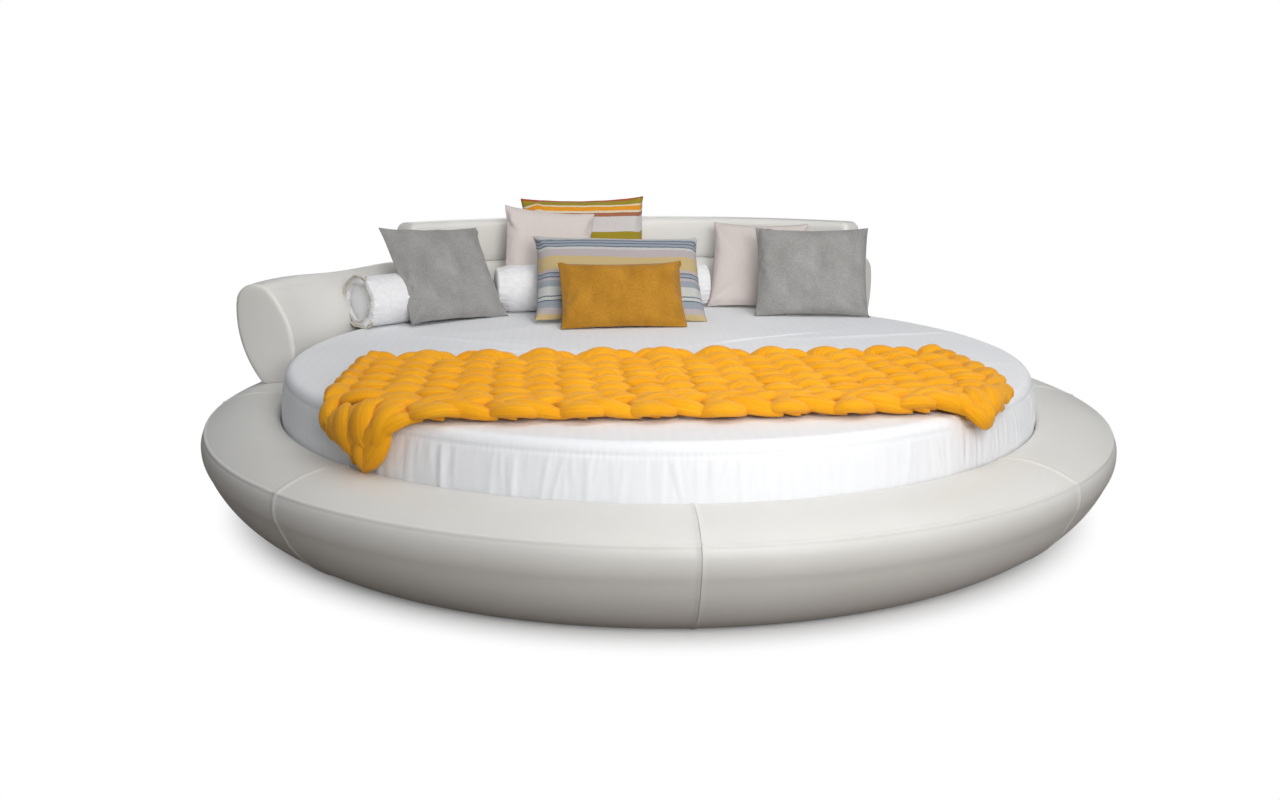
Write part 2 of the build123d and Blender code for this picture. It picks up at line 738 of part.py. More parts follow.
def main():
    for number in range(panel_count):
        panel = ring_panel(number)
        for angle in all_roll_bolt_angles():
            low = number * full_turn / panel_count
            if low < angle % full_turn < low + full_turn / panel_count:
                panel -= bolt_well(angle)
        save(panel, "ring_panel_%d" % (number + 1))

    top_board = patch((wall_in_r, board_z), (board_out_r, board_top_z))
    inner_wall = patch((wall_in_r, sole_top_z), (wall_out_r, board_z))
    sole = patch((sole_in_r, foot_z), (sole_out_r, sole_top_z))
    for number in range(module_count):
        board = ring_quarter(top_board, number)
        for angle in all_roll_bolt_angles():
            board -= bolt_well(angle)
        save(board, "ring_top_board_%d" % (number + 1))
        save(ring_quarter(inner_wall, number), "ring_inner_wall_%d" % (number + 1))
    save([ring_quarter(sole, number) for number in range(module_count)], "ring_soles")
    save(plain_ribs(), "ring_ribs")
    save(joint_ribs(), "ring_joint_ribs")
    save(joint_bolts(), "ring_joint_bolts")
    save(ring_glides(), "ring_glides")

    save(slat_ledges(), "slat_ledges")
    for side, word in ((-1, "left"), (1, "right")):
        save(slat_frame(side), "slat_frame_" + word)
        save(slats(side), "slats_" + word)
        save(slat_caps(side), "slat_caps_" + word)
    save(centre_beam(), "centre_beam")
    save(beam_hangers(), "beam_hangers")
    save(centre_legs(), "centre_legs")
    save(leg_feet(), "leg_feet")

    for number, word in enumerate(roll_names):
        save(roll_pad(number), "roll_" + word)
        save(roll_plate(number), "roll_plate_" + word)
    save(roll_bolts(), "roll_bolts")
    save(roll_end_panel(roll_angles[0], -1), "roll_end_arm")
    save(roll_piping(roll_angles[0], -1), "roll_piping_arm")
    save(roll_end_panel(roll_angles[-1], 1), "roll_end_right")
    save(roll_piping(roll_angles[-1], 1), "roll_piping_right")
    save(headrest_pad(), "headrest")
    save(headrest_board(), "headrest_board")
    save(headrest_pegs(), "headrest_pegs")

    save(mattress(), "mattress")
    save(fitted_sheet(), "fitted_sheet")
    for number, name in enumerate(bolster_names):
        save(bolster(number), name)
    for number, name in enumerate(cushion_names):
        save(cushion(number), "cushion_" + name)
    save(throw(), "throw")


main()
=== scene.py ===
"""Looks of a round upholstered bed with its bedding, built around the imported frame.

Metres, +Z up, the head end at +Y.
"""
import json
import math

import bmesh
import bpy
import numpy as np
from mathutils import Matrix, Vector
from mathutils.bvhtree import BVHTree


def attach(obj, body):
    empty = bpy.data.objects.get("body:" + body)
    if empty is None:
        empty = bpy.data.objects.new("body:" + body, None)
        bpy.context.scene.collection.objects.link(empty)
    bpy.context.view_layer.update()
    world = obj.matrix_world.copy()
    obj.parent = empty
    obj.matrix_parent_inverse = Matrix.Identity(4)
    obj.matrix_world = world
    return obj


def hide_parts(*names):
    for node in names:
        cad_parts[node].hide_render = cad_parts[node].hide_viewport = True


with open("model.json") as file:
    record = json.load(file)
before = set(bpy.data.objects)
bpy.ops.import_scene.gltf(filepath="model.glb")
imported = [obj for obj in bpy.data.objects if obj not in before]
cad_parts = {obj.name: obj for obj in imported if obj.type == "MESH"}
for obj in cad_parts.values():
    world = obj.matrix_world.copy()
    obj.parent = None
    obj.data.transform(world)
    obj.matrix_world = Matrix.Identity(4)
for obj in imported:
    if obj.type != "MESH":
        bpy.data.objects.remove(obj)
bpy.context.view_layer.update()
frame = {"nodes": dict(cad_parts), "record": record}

BASE, BED = "bed_base", "mattress"
MM = 0.001
TURN = 2 * math.pi

# Camera of the photograph
CAMERA_PLACE = (-0.24154, -3.45415, 1.03274)
CAMERA_FORWARD = (0.05376, 0.97320, -0.22361)
CAMERA_UP = (0.00814, 0.22349, 0.97467)
CAMERA_LENS, SENSOR_WIDTH = 32.54, 36.0

# Ring section: radius and height of its corners, and how far each arc bows out
WELL_R = 1.108
SKIRT_Z = 0.190
LIP_LOW, LIP = (WELL_R, 0.250), (1.122, 0.262)
SHOULDER, BROW, RING_TURN, FOOT = (1.299, 0.237), (1.308, 0.212), (1.297, 0.163), (1.152, 0.006)
LIP_BOW, CROWN_BOW, SHOULDER_BOW, BROW_BOW, FLANK_BOW = 4.2 * MM, 14.95 * MM, 1.9 * MM, 4.0 * MM, 21.1 * MM
PANELS = 8
COVER_T = 6 * MM
SEAM_GAP = 0.5 * MM
FLOOR_GAP = 3 * MM

# Roll section and modules
ROLL_FOOT_OUT, ROLL_OUT_TOP = (1.231, 0.2665), (1.298, 0.530)
ROLL_IN_TOP, ROLL_FOOT_IN = (1.190, 0.557), (1.149, 0.2665)
ROLL_OUT_BOW, ROLL_TOP_BOW, ROLL_IN_BOW = 26 * MM, 37 * MM, 41 * MM
ROLL_ANGLES = (-83.0, -47.0, -2.0, 43.0)
ROLL_NAMES = ("arm", "left", "right")

# Headrest
HEADREST_START, HEADREST_END = -45.1, 41.1
HEADREST_IN_R, HEADREST_OUT_R = 1.188, 1.290
HEADREST_LOW_Z, HEADREST_TOP_Z = 0.545, 0.712

# Top and hem of the made mattress
BED_TOP_Z = 0.392
SHEET_HEM_Z = 0.174


# Mesh tools

def in_scene(name, data):
    """A new object of the scene from a mesh, lamp or camera."""
    thing = bpy.data.objects.new(name, data)
    bpy.context.scene.collection.objects.link(thing)
    return thing


def put_in(name, mesh, material, body):
    """A smooth piece from a mesh, which rides on a body."""
    mesh.materials.append(material)
    mesh.polygons.foreach_set("use_smooth", [True] * len(mesh.polygons))
    piece = in_scene(name, mesh)
    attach(piece, body)
    return piece


def make_piece(name, verts, faces, material, body):
    """A piece from vertices and faces."""
    mesh = bpy.data.meshes.new(name)
    mesh.from_pydata([tuple(v) for v in verts], [], [tuple(f) for f in faces])
    mesh.validate()
    return put_in(name, mesh, material, body)


def grid_faces(rows, columns, wrap_rows=False, wrap_columns=False, start=0):
    """Quads of a grid of points kept row by row."""
    a = np.arange(rows if wrap_rows else rows - 1)[:, None]
    b = np.arange(columns if wrap_columns else columns - 1)[None, :]
    a2, b2 = (a + 1) % rows, (b + 1) % columns
    quads = np.stack([a * columns + b, a * columns + b2, a2 * columns + b2, a2 * columns + b], axis=-1)
    return (quads.reshape(-1, 4) + start).tolist()


def last_row(rows, columns):
    """Vertex numbers of the last row of such a grid."""
    return [(rows - 1) * columns + i for i in range(columns)]


def set_uv(piece, per_vertex):
    """A UV map from one pair of numbers per vertex."""
    mesh = piece.data
    layer = mesh.uv_layers.new(name="UVMap")
    loops = np.empty(len(mesh.loops), dtype=np.int32)
    mesh.loops.foreach_get("vertex_index", loops)
    layer.data.foreach_set("uv", np.asarray(per_vertex, dtype=np.float32)[loops].ravel())


def bowed(start, end, bow, count=40):
    """Points along an arc that stands out from its chord on the right by bow."""
    start, end = np.array(start), np.array(end)
    chord = end - start
    length = np.hypot(*chord)
    radius = (length ** 2 / 4 + bow ** 2) / (2 * bow)
    right = np.array([chord[1], -chord[0]]) / length
    centre = (start + end) / 2 - right * (radius - bow)
    half = math.asin(min(1.0, length / 2 / radius))
    along = chord / length
    turns = np.linspace(-half, half, count)[:, None]
    return centre + radius * (np.cos(turns) * right + np.sin(turns) * along)


class Profile:
    """A curve in the section plane, read by its length."""

    step = 0.5 * MM

    def __init__(self, points, round_over=0.0, closed=False):
        points = np.asarray(points)
        if closed:
            points = np.vstack([points, points[:1]])
        steps = np.hypot(*np.diff(points, axis=0).T)
        keep = np.concatenate([[True], steps > 1e-7])
        points = points[keep]
        at = np.concatenate([[0], np.cumsum(np.hypot(*np.diff(points, axis=0).T))])
        self.length, self.closed = at[-1], closed
        self.at = np.linspace(0, self.length, int(self.length / self.step) + 1)
        self.points = np.stack([np.interp(self.at, at, points[:, i]) for i in (0, 1)], axis=1)
        if round_over:
            self.points = self.smoothed(round_over)
        tangent = np.gradient(self.points, self.at, axis=0)
        if closed:
            tangent[0] = tangent[-1] = self.points[1] - self.points[-2]
        tangent /= np.hypot(*tangent.T)[:, None]
        self.normals = np.stack([tangent[:, 1], -tangent[:, 0]], axis=1)

    def smoothed(self, width):
        reach = int(width / self.step)
        kernel = np.hanning(2 * reach + 3)[1:-1]
        kernel /= kernel.sum()
        out = self.points.copy()
        for i in (0, 1):
            line = self.points[:, i]
            if self.closed:
                before, after = line[-reach - 1:-1], line[1:reach + 1]
            else:
                before = 2 * line[0] - line[reach:0:-1]
                after = 2 * line[-1] - line[-2:-reach - 2:-1]
            out[:, i] = np.convolve(np.concatenate([before, line, after]), kernel, mode="valid")
        return out

    def read(self, at):
        """Points of the curve and its outward directions at lengths along it."""
        place = np.stack([np.interp(at, self.at, self.points[:, i]) for i in (0, 1)], axis=-1)
        normal = np.stack([np.interp(at, self.at, self.normals[:, i]) for i in (0, 1)], axis=-1)
        return place, normal

    def near(self, point):
        """Length at which the curve comes nearest to a point."""
        return self.at[np.argmin(np.hypot(*(self.points - np.array(point)).T))]


def waves(values, seed, count=5, low=1.0, high=4.0):
    """A smooth wandering line: a few sines of seeded phase, about one high."""
    own = np.random.default_rng(seed)
    total = np.zeros_like(np.asarray(values, dtype=float))
    for _ in range(count):
        total += np.sin(values * own.uniform(low, high) + own.uniform(0, TURN)) * own.uniform(0.5, 1.0)
    return total / count


def hump(x, width, y=0.0, reach=1.0):
    """A smooth hump, one high at x = 0 and y = 0, that falls off over a width and a reach."""
    return np.exp(-(x / width) ** 2 - (y / reach) ** 2)


def turned(x, y, heading):
    """Lengths along a heading and across it to the left."""
    c, s = math.cos(heading), math.sin(heading)
    return x * c + y * s, y * c - x * s


def place_round(angle, radius, height):
    """A point at a compass angle in radians, from the head, clockwise from above."""
    return np.stack([radius * np.sin(angle), radius * np.cos(angle), height + 0 * angle], axis=-1)


def steps_from_ends(length, fine, coarse, reach):
    """Places along a length that stand close together near both ends."""
    near = [0.0]
    while near[-1] < reach:
        near.append(near[-1] + max(fine, near[-1] * 0.3))
    near = np.array([value for value in near if value < length / 3])
    middle = np.linspace(near[-1], length - near[-1], max(2, int((length - 2 * near[-1]) / coarse) + 2))
    return np.concatenate([near, middle[1:-1], length - near[::-1]])


def strand(points, side, up, half_wide, half_thick, turn, closed=False):
    """Oval rings along points and their faces, with caps on an open strand."""
    count, sides = len(points), len(turn)
    wide, thick = (np.broadcast_to(half, (count,))[:, None, None] for half in (half_wide, half_thick))
    rings = (points[:, None] + wide * np.cos(turn)[None, :, None] * side[:, None]
             + thick * np.sin(turn)[None, :, None] * up[:, None])
    faces = grid_faces(count, sides, wrap_rows=closed, wrap_columns=True)
    if not closed:
        faces += [list(range(sides))[::-1], last_row(count, sides)]
    return rings, faces


def tube(points, radius, sides=10, closed=False):
    """Vertices and faces of a round tube along points."""
    points = np.asarray(points)
    if closed:
        ahead, behind = np.roll(points, -1, axis=0), np.roll(points, 1, axis=0)
    else:
        ahead = np.vstack([points[1:], 2 * points[-1:] - points[-2:-1]])
        behind = np.vstack([2 * points[:1] - points[1:2], points[:-1]])
    tangent = ahead - behind
    tangent /= np.linalg.norm(tangent, axis=1)[:, None]
    side = np.cross(np.array([0.0, 0.0, 1.0]), tangent)
    weak = np.linalg.norm(side, axis=1) < 0.05
    side[weak] = np.cross(np.array([0.0, 1.0, 0.0]), tangent[weak])
    side /= np.linalg.norm(side, axis=1)[:, None]
    turn = np.linspace(0, TURN, sides, endpoint=False)
    rings, faces = strand(points, side, np.cross(tangent, side), radius, radius, turn, closed)
    return rings.reshape(-1, 3), faces


def join_parts(parts):
    """One list of vertices and faces from several."""
    verts, faces, start = [], [], 0
    for part_verts, part_faces in parts:
        verts.append(np.asarray(part_verts))
        faces += [[index + start for index in face] for face in part_faces]
        start += len(part_verts)
    return np.vstack(verts), faces


def merge_near(piece, distance=0.02 * MM):
    """Weld vertices that lie on one another."""
    mesh = bmesh.new()
    mesh.from_mesh(piece.data)
    bmesh.ops.remove_doubles(mesh, verts=mesh.verts, dist=distance)
    bmesh.ops.recalc_face_normals(mesh, faces=mesh.faces)
    mesh.to_mesh(piece.data)
    mesh.free()


# Material tools

def add(tree, kind, inputs=None, **settings):
    """A shader node with its settings and inputs, which are values or other sockets."""
    node = tree.nodes.new(kind)
    for key, value in settings.items():
        setattr(node, key, value)
    for key, value in (inputs or {}).items():
        socket = node.inputs[key]
        if isinstance(value, bpy.types.NodeSocket):
            tree.links.new(value, socket)
        else:
            socket.default_value = value
    return node


def new_material(name, **values):
    """A principled material with its plain shader values, and its tree."""
    material = bpy.data.materials.new(name)
    material.use_nodes = True
    shader = material.node_tree.nodes["Principled BSDF"]
    for key, value in values.items():
        shader.inputs[key.replace("_", " ")].default_value = value
    return material, material.node_tree


def finished(material, **sockets):
    """The material with node outputs linked to its shader."""
    tree = material.node_tree
    for key, value in sockets.items():
        tree.links.new(value, tree.nodes["Principled BSDF"].inputs[key.replace("_", " ")])
    return material


def coordinates(tree, kind="Object", scale=(1, 1, 1)):
    source = add(tree, "ShaderNodeTexCoord").outputs[kind]
    return add(tree, "ShaderNodeMapping", {"Vector": source, "Scale": scale}).outputs["Vector"]


def cloud(tree, vector, scale, detail=3.0, roughness=0.5):
    inputs = {"Vector": vector, "Scale": scale, "Detail": detail, "Roughness": roughness}
    return add(tree, "ShaderNodeTexNoise", inputs).outputs["Fac"]


def lines(tree, vector, scale, distortion, direction="X", detail=2.0):
    inputs = {"Vector": vector, "Scale": scale, "Distortion": distortion, "Detail": detail}
    return add(tree, "ShaderNodeTexWave", inputs, bands_direction=direction).outputs["Fac"]


def cells(tree, vector, scale, feature="F1"):
    inputs = {"Vector": vector, "Scale": scale}
    return add(tree, "ShaderNodeTexVoronoi", inputs, feature=feature).outputs["Distance"]


def calc(tree, operation, a, b=0.0, clamp=False):
    return add(tree, "ShaderNodeMath", {0: a, 1: b}, operation=operation, use_clamp=clamp).outputs[0]


def weighted(tree, *parts):
    """Sum of values, each times its share."""
    total = None
    for value, share in parts:
        part = calc(tree, "MULTIPLY", value, share)
        total = part if total is None else calc(tree, "ADD", total, part)
    return total


def spread(tree, value, low, high, to_low, to_high):
    return add(tree, "ShaderNodeMapRange", {"Value": value, "From Min": low, "From Max": high,
                                            "To Min": to_low, "To Max": to_high}).outputs["Result"]


def ramp(tree, value, stops, interpolation="LINEAR"):
    node = add(tree, "ShaderNodeValToRGB", {"Fac": value})
    node.color_ramp.interpolation = interpolation
    elements = node.color_ramp.elements
    while len(elements) < len(stops):
        elements.new(0.5)
    for element, (position, color) in zip(elements, stops):
        element.position = position
        element.color = (*color, 1.0)
    return node.outputs["Color"]


def blend_color(tree, factor, a, b, kind="MIX"):
    node = add(tree, "ShaderNodeMix", {"Factor": factor}, data_type="RGBA", blend_type=kind)
    for index, value in ((6, a), (7, b)):
        if isinstance(value, bpy.types.NodeSocket):
            tree.links.new(value, node.inputs[index])
        else:
            node.inputs[index].default_value = (*value, 1.0)
    return node.outputs[2]


def relief(tree, *layers):
    """Bumps on one another, each a height with its distance and strength."""
    surface = None
    for height, distance, strength in layers:
        inputs = {"Height": height, "Distance": distance, "Strength": strength}
        if surface is not None:
            inputs["Normal"] = surface
        surface = add(tree, "ShaderNodeBump", inputs).outputs["Normal"]
    return surface


# Materials

def leatherette():
    material, tree = new_material("leatherette_off_white", Roughness=0.4, Specular_IOR_Level=0.5)
    place = coordinates(tree)
    patches = cloud(tree, place, 3.0, 4.0)
    grain = cells(tree, place, 520.0, "SMOOTH_F1")
    pores = cloud(tree, place, 1400.0, 2.0)
    slack = cloud(tree, place, 9.0, 2.0)
    return finished(
        material,
        Base_Color=ramp(tree, patches, [(0.3, (0.735, 0.722, 0.685)), (0.7, (0.775, 0.765, 0.732))]),
        Roughness=spread(tree, patches, 0.3, 0.7, 0.36, 0.46),
        Normal=relief(tree, (grain, 0.35 * MM, 0.5), (pores, 0.15 * MM, 0.4), (slack, 3.0 * MM, 0.35)))


def thread(name, color):
    material, tree = new_material(name, Roughness=0.55)
    twist = lines(tree, coordinates(tree), 400.0, 1.0)
    tone = ramp(tree, twist, [(0.0, tuple(c * 0.8 for c in color)), (1.0, color)])
    return finished(material, Base_Color=tone, Normal=relief(tree, (twist, 0.2 * MM, 0.5)))


def cotton():
    """Smooth white cotton with a fine satin stripe."""
    material, tree = new_material("white_cotton_sateen", Roughness=0.7, Specular_IOR_Level=0.35,
                                  Sheen_Weight=0.15, Sheen_Roughness=0.4)
    place = coordinates(tree, "UV")
    band = spread(tree, lines(tree, place, 10.5, 0.0), 0.45, 0.55, 0.0, 1.0)
    shade = cloud(tree, coordinates(tree), 2.2, 3.0)
    color = ramp(tree, shade, [(0.25, (0.79, 0.80, 0.825)), (0.75, (0.845, 0.85, 0.865))])
    color = blend_color(tree, calc(tree, "MULTIPLY", band, 0.10), color, (0.90, 0.905, 0.915))
    weave = add(tree, "ShaderNodeTexChecker", {"Vector": place, "Scale": 1600.0}).outputs["Fac"]
    creases = cloud(tree, coordinates(tree), 60.0, 4.0, 0.6)
    return finished(material, Base_Color=color, Roughness=spread(tree, band, 0.0, 1.0, 0.75, 0.6),
                    Normal=relief(tree, (weave, 0.12 * MM, 0.3), (creases, 0.8 * MM, 0.5)))


def simple_wood(name, light, dark, grain_scale, rough=0.55):
    material, tree = new_material(name, Roughness=rough)
    place = coordinates(tree, "Object", (1.0, 14.0, 14.0))
    fibre = cloud(tree, place, grain_scale, 6.0, 0.65)
    rings = lines(tree, place, 1.2, 9.0, detail=3.0)
    color = ramp(tree, weighted(tree, (fibre, 0.65), (rings, 0.35)), [(0.25, dark), (0.75, light)])
    return finished(material, Base_Color=color, Normal=relief(tree, (fibre, 0.3 * MM, 0.4)),
                    Roughness=spread(tree, fibre, 0.2, 0.8, rough - 0.08, rough + 0.1))


def simple_metal(name, color, rough, metallic=1.0):
    material, tree = new_material(name, Metallic=metallic)
    grain = cloud(tree, coordinates(tree), 220.0, 4.0)
    tone = ramp(tree, grain, [(0.3, tuple(c * 0.85 for c in color)), (0.7, color)])
    return finished(material, Base_Color=tone, Normal=relief(tree, (grain, 0.1 * MM, 0.3)),
                    Roughness=spread(tree, grain, 0.2, 0.8, rough - 0.07, rough + 0.1))


def ticking():
    material, tree = new_material("mattress_ticking", Roughness=0.85)
    quilt = cells(tree, coordinates(tree), 14.0)
    color = ramp(tree, quilt, [(0.0, (0.70, 0.70, 0.68)), (0.6, (0.80, 0.80, 0.78))])
    return finished(material, Base_Color=color, Normal=relief(tree, (quilt, 4 * MM, 0.4)))


def tint(*levels):
    """A colour given as it shows on screen, 0 to 255, in linear light."""
    return tuple(((value / 255 + 0.055) / 1.055) ** 2.4 for value in levels)


def fabric(name, sheen=0.0, rough=0.85, specular=0.2):
    return new_material(name, Roughness=rough, Specular_IOR_Level=specular, Sheen_Weight=sheen,
                        Sheen_Roughness=0.45)


def velvet(name, light, dark, sheen):
    """Short pile brushed in patches."""
    material, tree = fabric(name, sheen)
    place = coordinates(tree, "UV")
    brushed = cloud(tree, coordinates(tree, "UV", (1.0, 0.7, 1.0)), 11.0, 4.0, 0.6)
    pile = cloud(tree, place, 420.0, 3.0, 0.7)
    mottle = cloud(tree, place, 130.0, 4.0, 0.65)
    mix = weighted(tree, (brushed, 0.42), (pile, 0.28), (mottle, 0.30))
    return finished(material, Base_Color=ramp(tree, mix, [(0.34, dark), (0.66, light)]),
                    Roughness=spread(tree, pile, 0.3, 0.7, 0.78, 0.95),
                    Normal=relief(tree, (pile, 0.9 * MM, 0.5), (mottle, 1.2 * MM, 0.3)))


def plain_weave(tree, place, pitch):
    """Height of a plain weave from two crossed sets of fine waves."""
    warp, weft = (lines(tree, place, pitch, 0.6, direction) for direction in ("X", "Y"))
    return calc(tree, "MAXIMUM", warp, weft)


def linen(name, light, dark):
    material, tree = fabric(name, 0.1)
    place = coordinates(tree, "UV")
    slubs = cloud(tree, coordinates(tree, "UV", (1.0, 9.0, 1.0)), 90.0, 4.0, 0.7)
    weave, dents = plain_weave(tree, place, 190.0), cloud(tree, place, 26.0, 3.0)
    return finished(material, Base_Color=ramp(tree, slubs, [(0.3, dark), (0.7, light)]),
                    Roughness=spread(tree, slubs, 0.3, 0.7, 0.8, 0.95),
                    Normal=relief(tree, (weave, 0.5 * MM, 0.6), (dents, 2 * MM, 0.35)))


def striped(name, height, bands):
    """Woven bands across the cushion, listed from the top by where each starts."""
    material, tree = fabric(name, 0.12)
    place = coordinates(tree, "UV")
    axes = add(tree, "ShaderNodeSeparateXYZ", {"Vector": place})
    level = calc(tree, "SUBTRACT", 1.0, calc(tree, "DIVIDE", axes.outputs["Y"], height))
    drift = cloud(tree, coordinates(tree, "UV", (1.0, 0.2, 1.0)), 160.0, 2.0)
    level = calc(tree, "ADD", level, spread(tree, drift, 0.3, 0.7, -0.002, 0.002))
    threads = cloud(tree, coordinates(tree, "UV", (1.0, 14.0, 1.0)), 120.0, 3.0, 0.7)
    flecks = ramp(tree, threads, [(0.35, (0.72, 0.72, 0.72)), (0.65, (1.0, 1.0, 1.0))])
    color = blend_color(tree, 1.0, ramp(tree, level, bands, "CONSTANT"), flecks, "MULTIPLY")
    return finished(material, Base_Color=color, Roughness=spread(tree, threads, 0.3, 0.7, 0.8, 0.95),
                    Normal=relief(tree, (plain_weave(tree, place, 150.0), 0.7 * MM, 0.6)))


def wool():
    """Unspun roving: fibres along the strand, fine fuzz and soft patches of deeper colour."""
    material, tree = fabric("merino_roving_yellow", 0.12, 0.9, 0.1)
    strands = cloud(tree, coordinates(tree, "UV", (26.0, 5.0, 1.0)), 1.0, 5.0, 0.6)
    fibres = cloud(tree, coordinates(tree, "UV", (90.0, 30.0, 1.0)), 1.0, 4.0, 0.7)
    fuzz = cloud(tree, coordinates(tree), 420.0, 3.0, 0.7)
    patches = cloud(tree, coordinates(tree), 7.0, 2.0)
    mix = weighted(tree, (strands, 0.45), (fuzz, 0.35), (patches, 0.2))
    tones = [(0.32, tint(220, 140, 14)), (0.5, tint(236, 164, 28)), (0.68, tint(246, 182, 50))]
    return finished(
        material, Base_Color=ramp(tree, mix, tones), Roughness=spread(tree, fuzz, 0.3, 0.7, 0.82, 0.98),
        Normal=relief(tree, (strands, 4 * MM, 0.5), (fibres, 1.5 * MM, 0.5), (fuzz, 1.5 * MM, 0.45)))


def crinkled():
    """White cotton with small crumples and lacy raised threads."""
    material, tree = fabric("white_cotton_crinkled", 0.1)
    place = coordinates(tree, "UV")
    lacy = spread(tree, cells(tree, place, 95.0, "DISTANCE_TO_EDGE"), 0.0, 0.12, 1.0, 0.0)
    crumple = cloud(tree, place, 55.0, 5.0, 0.65)
    color = ramp(tree, crumple, [(0.3, tint(226, 226, 228)), (0.7, tint(240, 240, 241))])
    return finished(material, Base_Color=color, Roughness=spread(tree, crumple, 0.3, 0.7, 0.8, 0.95),
                    Normal=relief(tree, (crumple, 3 * MM, 0.55), (lacy, 1.0 * MM, 0.5)))


RUST, OLIVE, CREAM, AMBER = tint(196, 84, 34), tint(168, 148, 44), tint(232, 222, 196), tint(238, 160, 42)
TERRACOTTA, CHALK, FLAME = tint(178, 112, 84), tint(222, 216, 214), tint(216, 104, 30)
OLIVE_BANDS = (
    (0.0, RUST), (0.028, OLIVE), (0.092, CREAM), (0.108, AMBER), (0.150, CREAM), (0.170, TERRACOTTA),
    (0.207, CHALK), (0.345, OLIVE), (0.415, FLAME), (0.465, CREAM), (0.48, AMBER), (0.56, TERRACOTTA),
    (0.60, CHALK), (0.76, OLIVE), (0.85, RUST), (0.87, CREAM), (0.89, AMBER), (0.95, OLIVE))
PALE, LINE, MAUVE = tint(204, 205, 201), tint(92, 108, 128), tint(190, 180, 182)
STRAW, SKY = tint(204, 182, 132), tint(158, 165, 174)
BLUE_BANDS = (
    (0.0, SKY), (0.012, LINE), (0.022, PALE), (0.040, LINE), (0.050, PALE), (0.130, SKY), (0.145, LINE),
    (0.157, SKY), (0.185, LINE), (0.197, SKY), (0.225, LINE), (0.237, PALE), (0.265, MAUVE), (0.34, STRAW),
    (0.49, MAUVE), (0.52, LINE), (0.535, SKY), (0.565, LINE), (0.577, MAUVE), (0.605, SKY), (0.67, PALE),
    (0.765, LINE), (0.777, PALE), (0.805, LINE), (0.820, SKY), (0.885, MAUVE), (0.94, STRAW))

CRINKLE = crinkled()
LACE = thread("lace_thread", tint(226, 220, 206))
WOOL = wool()
CUSHION_MATERIALS = {
    "grey_velvet": velvet("grey_velvet", tint(170, 169, 167), tint(124, 122, 120), 0.25),
    "mustard_velvet": velvet("mustard_velvet", tint(194, 140, 46), tint(140, 94, 18), 0.2),
    "pink_linen": linen("pale_pink_linen", tint(222, 212, 208), tint(206, 196, 192)),
    "olive_stripe": striped("olive_stripe", 0.412, OLIVE_BANDS),
    "blue_stripe": striped("blue_stripe", 0.380, BLUE_BANDS),
}
LEATHER = leatherette()
LEATHER_THREAD = thread("leatherette_thread", (0.46, 0.445, 0.41))
COTTON = cotton()
NODE_MATERIALS = {
    "plywood": simple_wood("birch_plywood", (0.66, 0.50, 0.32), (0.48, 0.34, 0.20), 5.0),
    "beech": simple_wood("beech", (0.64, 0.42, 0.26), (0.50, 0.31, 0.18), 8.0, 0.45),
    "plastic": simple_metal("black_plastic", (0.03, 0.03, 0.03), 0.45, 0.0),
    "zinc_steel": simple_metal("zinc_steel", (0.62, 0.63, 0.65), 0.32),
    "bracket_steel": simple_metal("black_powder_coat", (0.04, 0.04, 0.04), 0.5, 0.2),
    "mattress_ticking": ticking(),
}


def dress_nodes():
    """Give every CAD node that stays in view the material of its slot."""
    for subpart in frame["record"]["subparts"]:
        material = NODE_MATERIALS.get(subpart["material_slot"])
        if material is None:
            continue
        for slot in frame["nodes"][subpart["node"]].material_slots:
            slot.material = material


# Ring

RING_PROFILE = Profile(np.vstack([
    [(WELL_R, SKIRT_Z), LIP_LOW],
    bowed(LIP_LOW, LIP, -LIP_BOW),
    bowed(LIP, SHOULDER, -CROWN_BOW, 80),
    bowed(SHOULDER, BROW, -SHOULDER_BOW),
    bowed(BROW, RING_TURN, -BROW_BOW),
    bowed(RING_TURN, FOOT, -FLANK_BOW, 80),
]), round_over=4 * MM)
SHOULDER_AT = RING_PROFILE.near(SHOULDER)
PANEL_TURN = TURN / PANELS
PANEL_ARC = PANEL_TURN * SHOULDER[0]
SEAM_DRAW, SEAM_REACH = 2.4 * MM, 7 * MM
SHOULDER_DRAW, SHOULDER_REACH = 2.2 * MM, 2.6 * MM
PUCKER, PUCKER_REACH, PUCKER_PITCH = 0.9 * MM, 30 * MM, 26 * MM
SLACK, SLACK_REACH = 0.5 * MM, 30 * MM
STITCH_LEN, STITCH_PITCH, STITCH_R = 6.4 * MM, 8.6 * MM, 1.0 * MM
TOPSTITCH_OFFSET = 7.5 * MM


def ring_surface(at, along, number):
    """Compass angles, section points and outward directions of a ring cover.

    They are read at lengths along the profile and along the ring from the panel's start.
    """
    place, normal = RING_PROFILE.read(at)
    to_seam = np.minimum(along, PANEL_ARC - along)
    wander = waves(at / PUCKER_PITCH * TURN, number + 11, 4, 0.6, 1.3)
    puff = PUCKER * wander * np.exp(-to_seam / PUCKER_REACH) - SEAM_DRAW * hump(to_seam, SEAM_REACH)
    puff = puff - SHOULDER_DRAW * hump(at - SHOULDER_AT, SHOULDER_REACH)
    puff = puff + SLACK * waves(along * 22, number + 31) * np.exp(-np.abs(at - SHOULDER_AT) / SLACK_REACH)
    return number * PANEL_TURN + along / SHOULDER[0], place + normal * puff[..., None], normal


